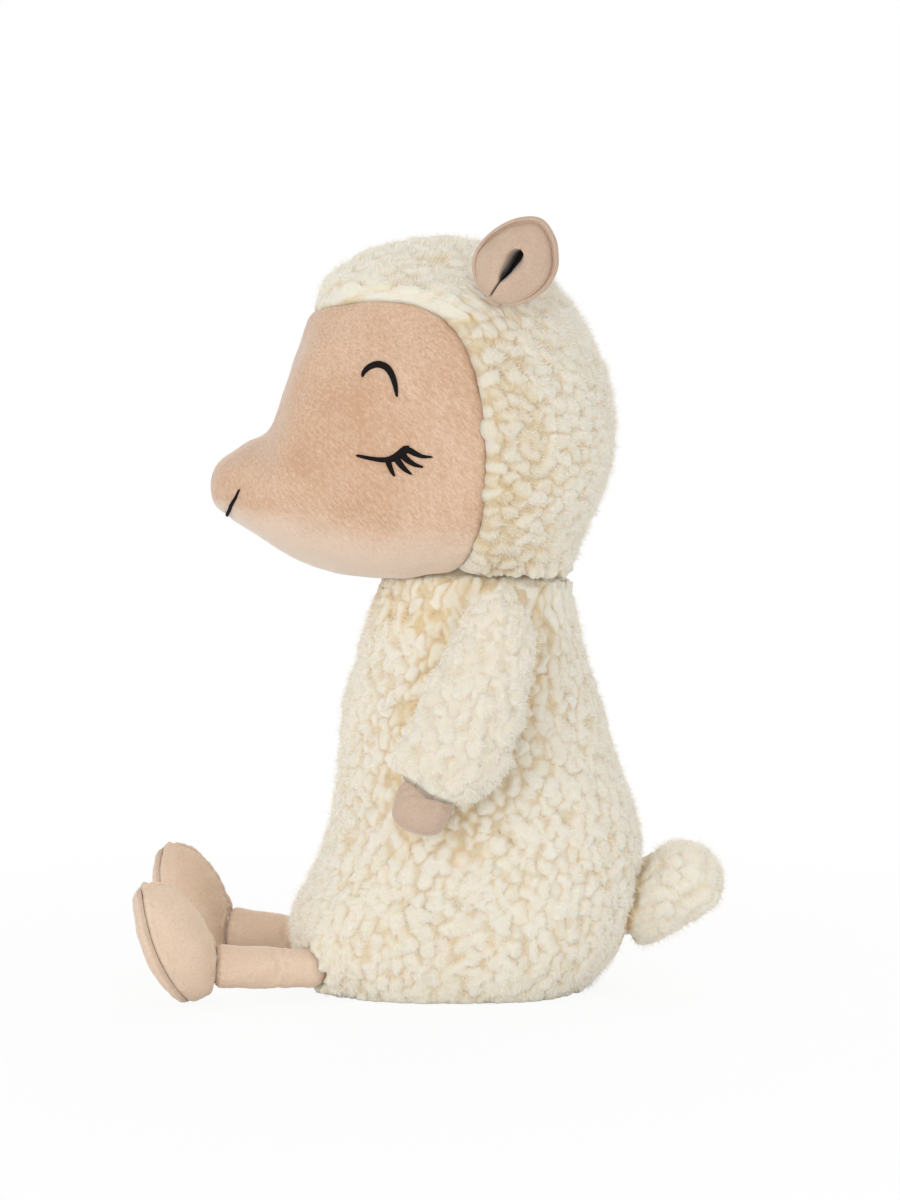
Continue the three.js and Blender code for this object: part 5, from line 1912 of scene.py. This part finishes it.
def floor_paint():
    """White floor: the camera sees it mostly as plain white, with a tenth of the sheep's shadow near by."""
    cloth = Cloth("white floor")
    seen = seen_white(cloth)
    where = cloth.add("ShaderNodeTexCoord").outputs["Object"]
    apart = cloth.add("ShaderNodeVectorMath", {"operation": "LENGTH"}, {0: where}).outputs["Value"]
    far = Amount(cloth, apart).step(0.16, 0.5)
    white = cloth.add("ShaderNodeEmission", {}, {"Color": (1.0, 1.0, 1.0), "Strength": 1.0})
    paint = cloth.add("ShaderNodeBsdfDiffuse", {}, {"Color": (0.93, 0.93, 0.93)})
    plain = seen * (0.91 + far * 0.09)
    blend = cloth.add("ShaderNodeMixShader", {}, {0: plain, 1: paint.outputs[0], 2: white.outputs[0]})
    cloth.add("ShaderNodeOutputMaterial", {}, {"Surface": blend.outputs[0]})
    return cloth.material


def light_room(world, strength):
    """White light from all around, seen as plain white behind the sheep."""
    room = Cloth("room", world)
    seen = seen_white(room)
    lit, plain = (
        room.add("ShaderNodeBackground", {}, {"Color": (1.0, 1.0, 1.0), "Strength": power}).outputs[0]
        for power in (strength, 1.0)
    )
    blend = room.add("ShaderNodeMixShader", {}, {0: seen, 1: lit, 2: plain})
    room.add("ShaderNodeOutputWorld", {}, {"Surface": blend.outputs[0]})


class SHEEP_PT_panel(bpy.types.Panel):
    """Lists the sheep's settings and its pieces"""

    bl_idname = "SHEEP_PT_panel"
    bl_label = "Plush sheep"
    bl_space_type = "VIEW_3D"
    bl_region_type = "UI"
    bl_category = "Sheep"

    def draw(self, context):
        for name, group in SETTINGS.items():
            box = self.layout.box()
            box.label(text=group.__doc__)
            for key in group.__annotations__:
                box.prop(getattr(context.scene, name), key)
        for operator in OPERATORS:
            self.layout.operator(operator.bl_idname)


SETTINGS = {
    "sheep_fleece": FleeceSettings, "sheep_velour": VelourSettings,
    "sheep_thread": ThreadSettings, "sheep_stage": StageSettings,
}
OPERATORS = (
    SHEEP_OT_body, SHEEP_OT_head, SHEEP_OT_embroidery, SHEEP_OT_arms, SHEEP_OT_legs,
    SHEEP_OT_ears, SHEEP_OT_tail, SHEEP_OT_stuffing, SHEEP_OT_stage,
)


def register():
    for group in SETTINGS.values():
        bpy.utils.register_class(group)
    for name, group in SETTINGS.items():
        setattr(bpy.types.Scene, name, bpy.props.PointerProperty(type=group))
    for operator in OPERATORS:
        bpy.utils.register_class(operator)
    bpy.utils.register_class(SHEEP_PT_panel)


def unregister():
    bpy.utils.unregister_class(SHEEP_PT_panel)
    for operator in reversed(OPERATORS):
        bpy.utils.unregister_class(operator)
    for name, group in SETTINGS.items():
        delattr(bpy.types.Scene, name)
        bpy.utils.unregister_class(group)


def main():
    register()
    for operator in OPERATORS:
        group, name = operator.bl_idname.split(".")
        getattr(getattr(bpy.ops, group), name)()


if __name__ == "__main__":
    main()
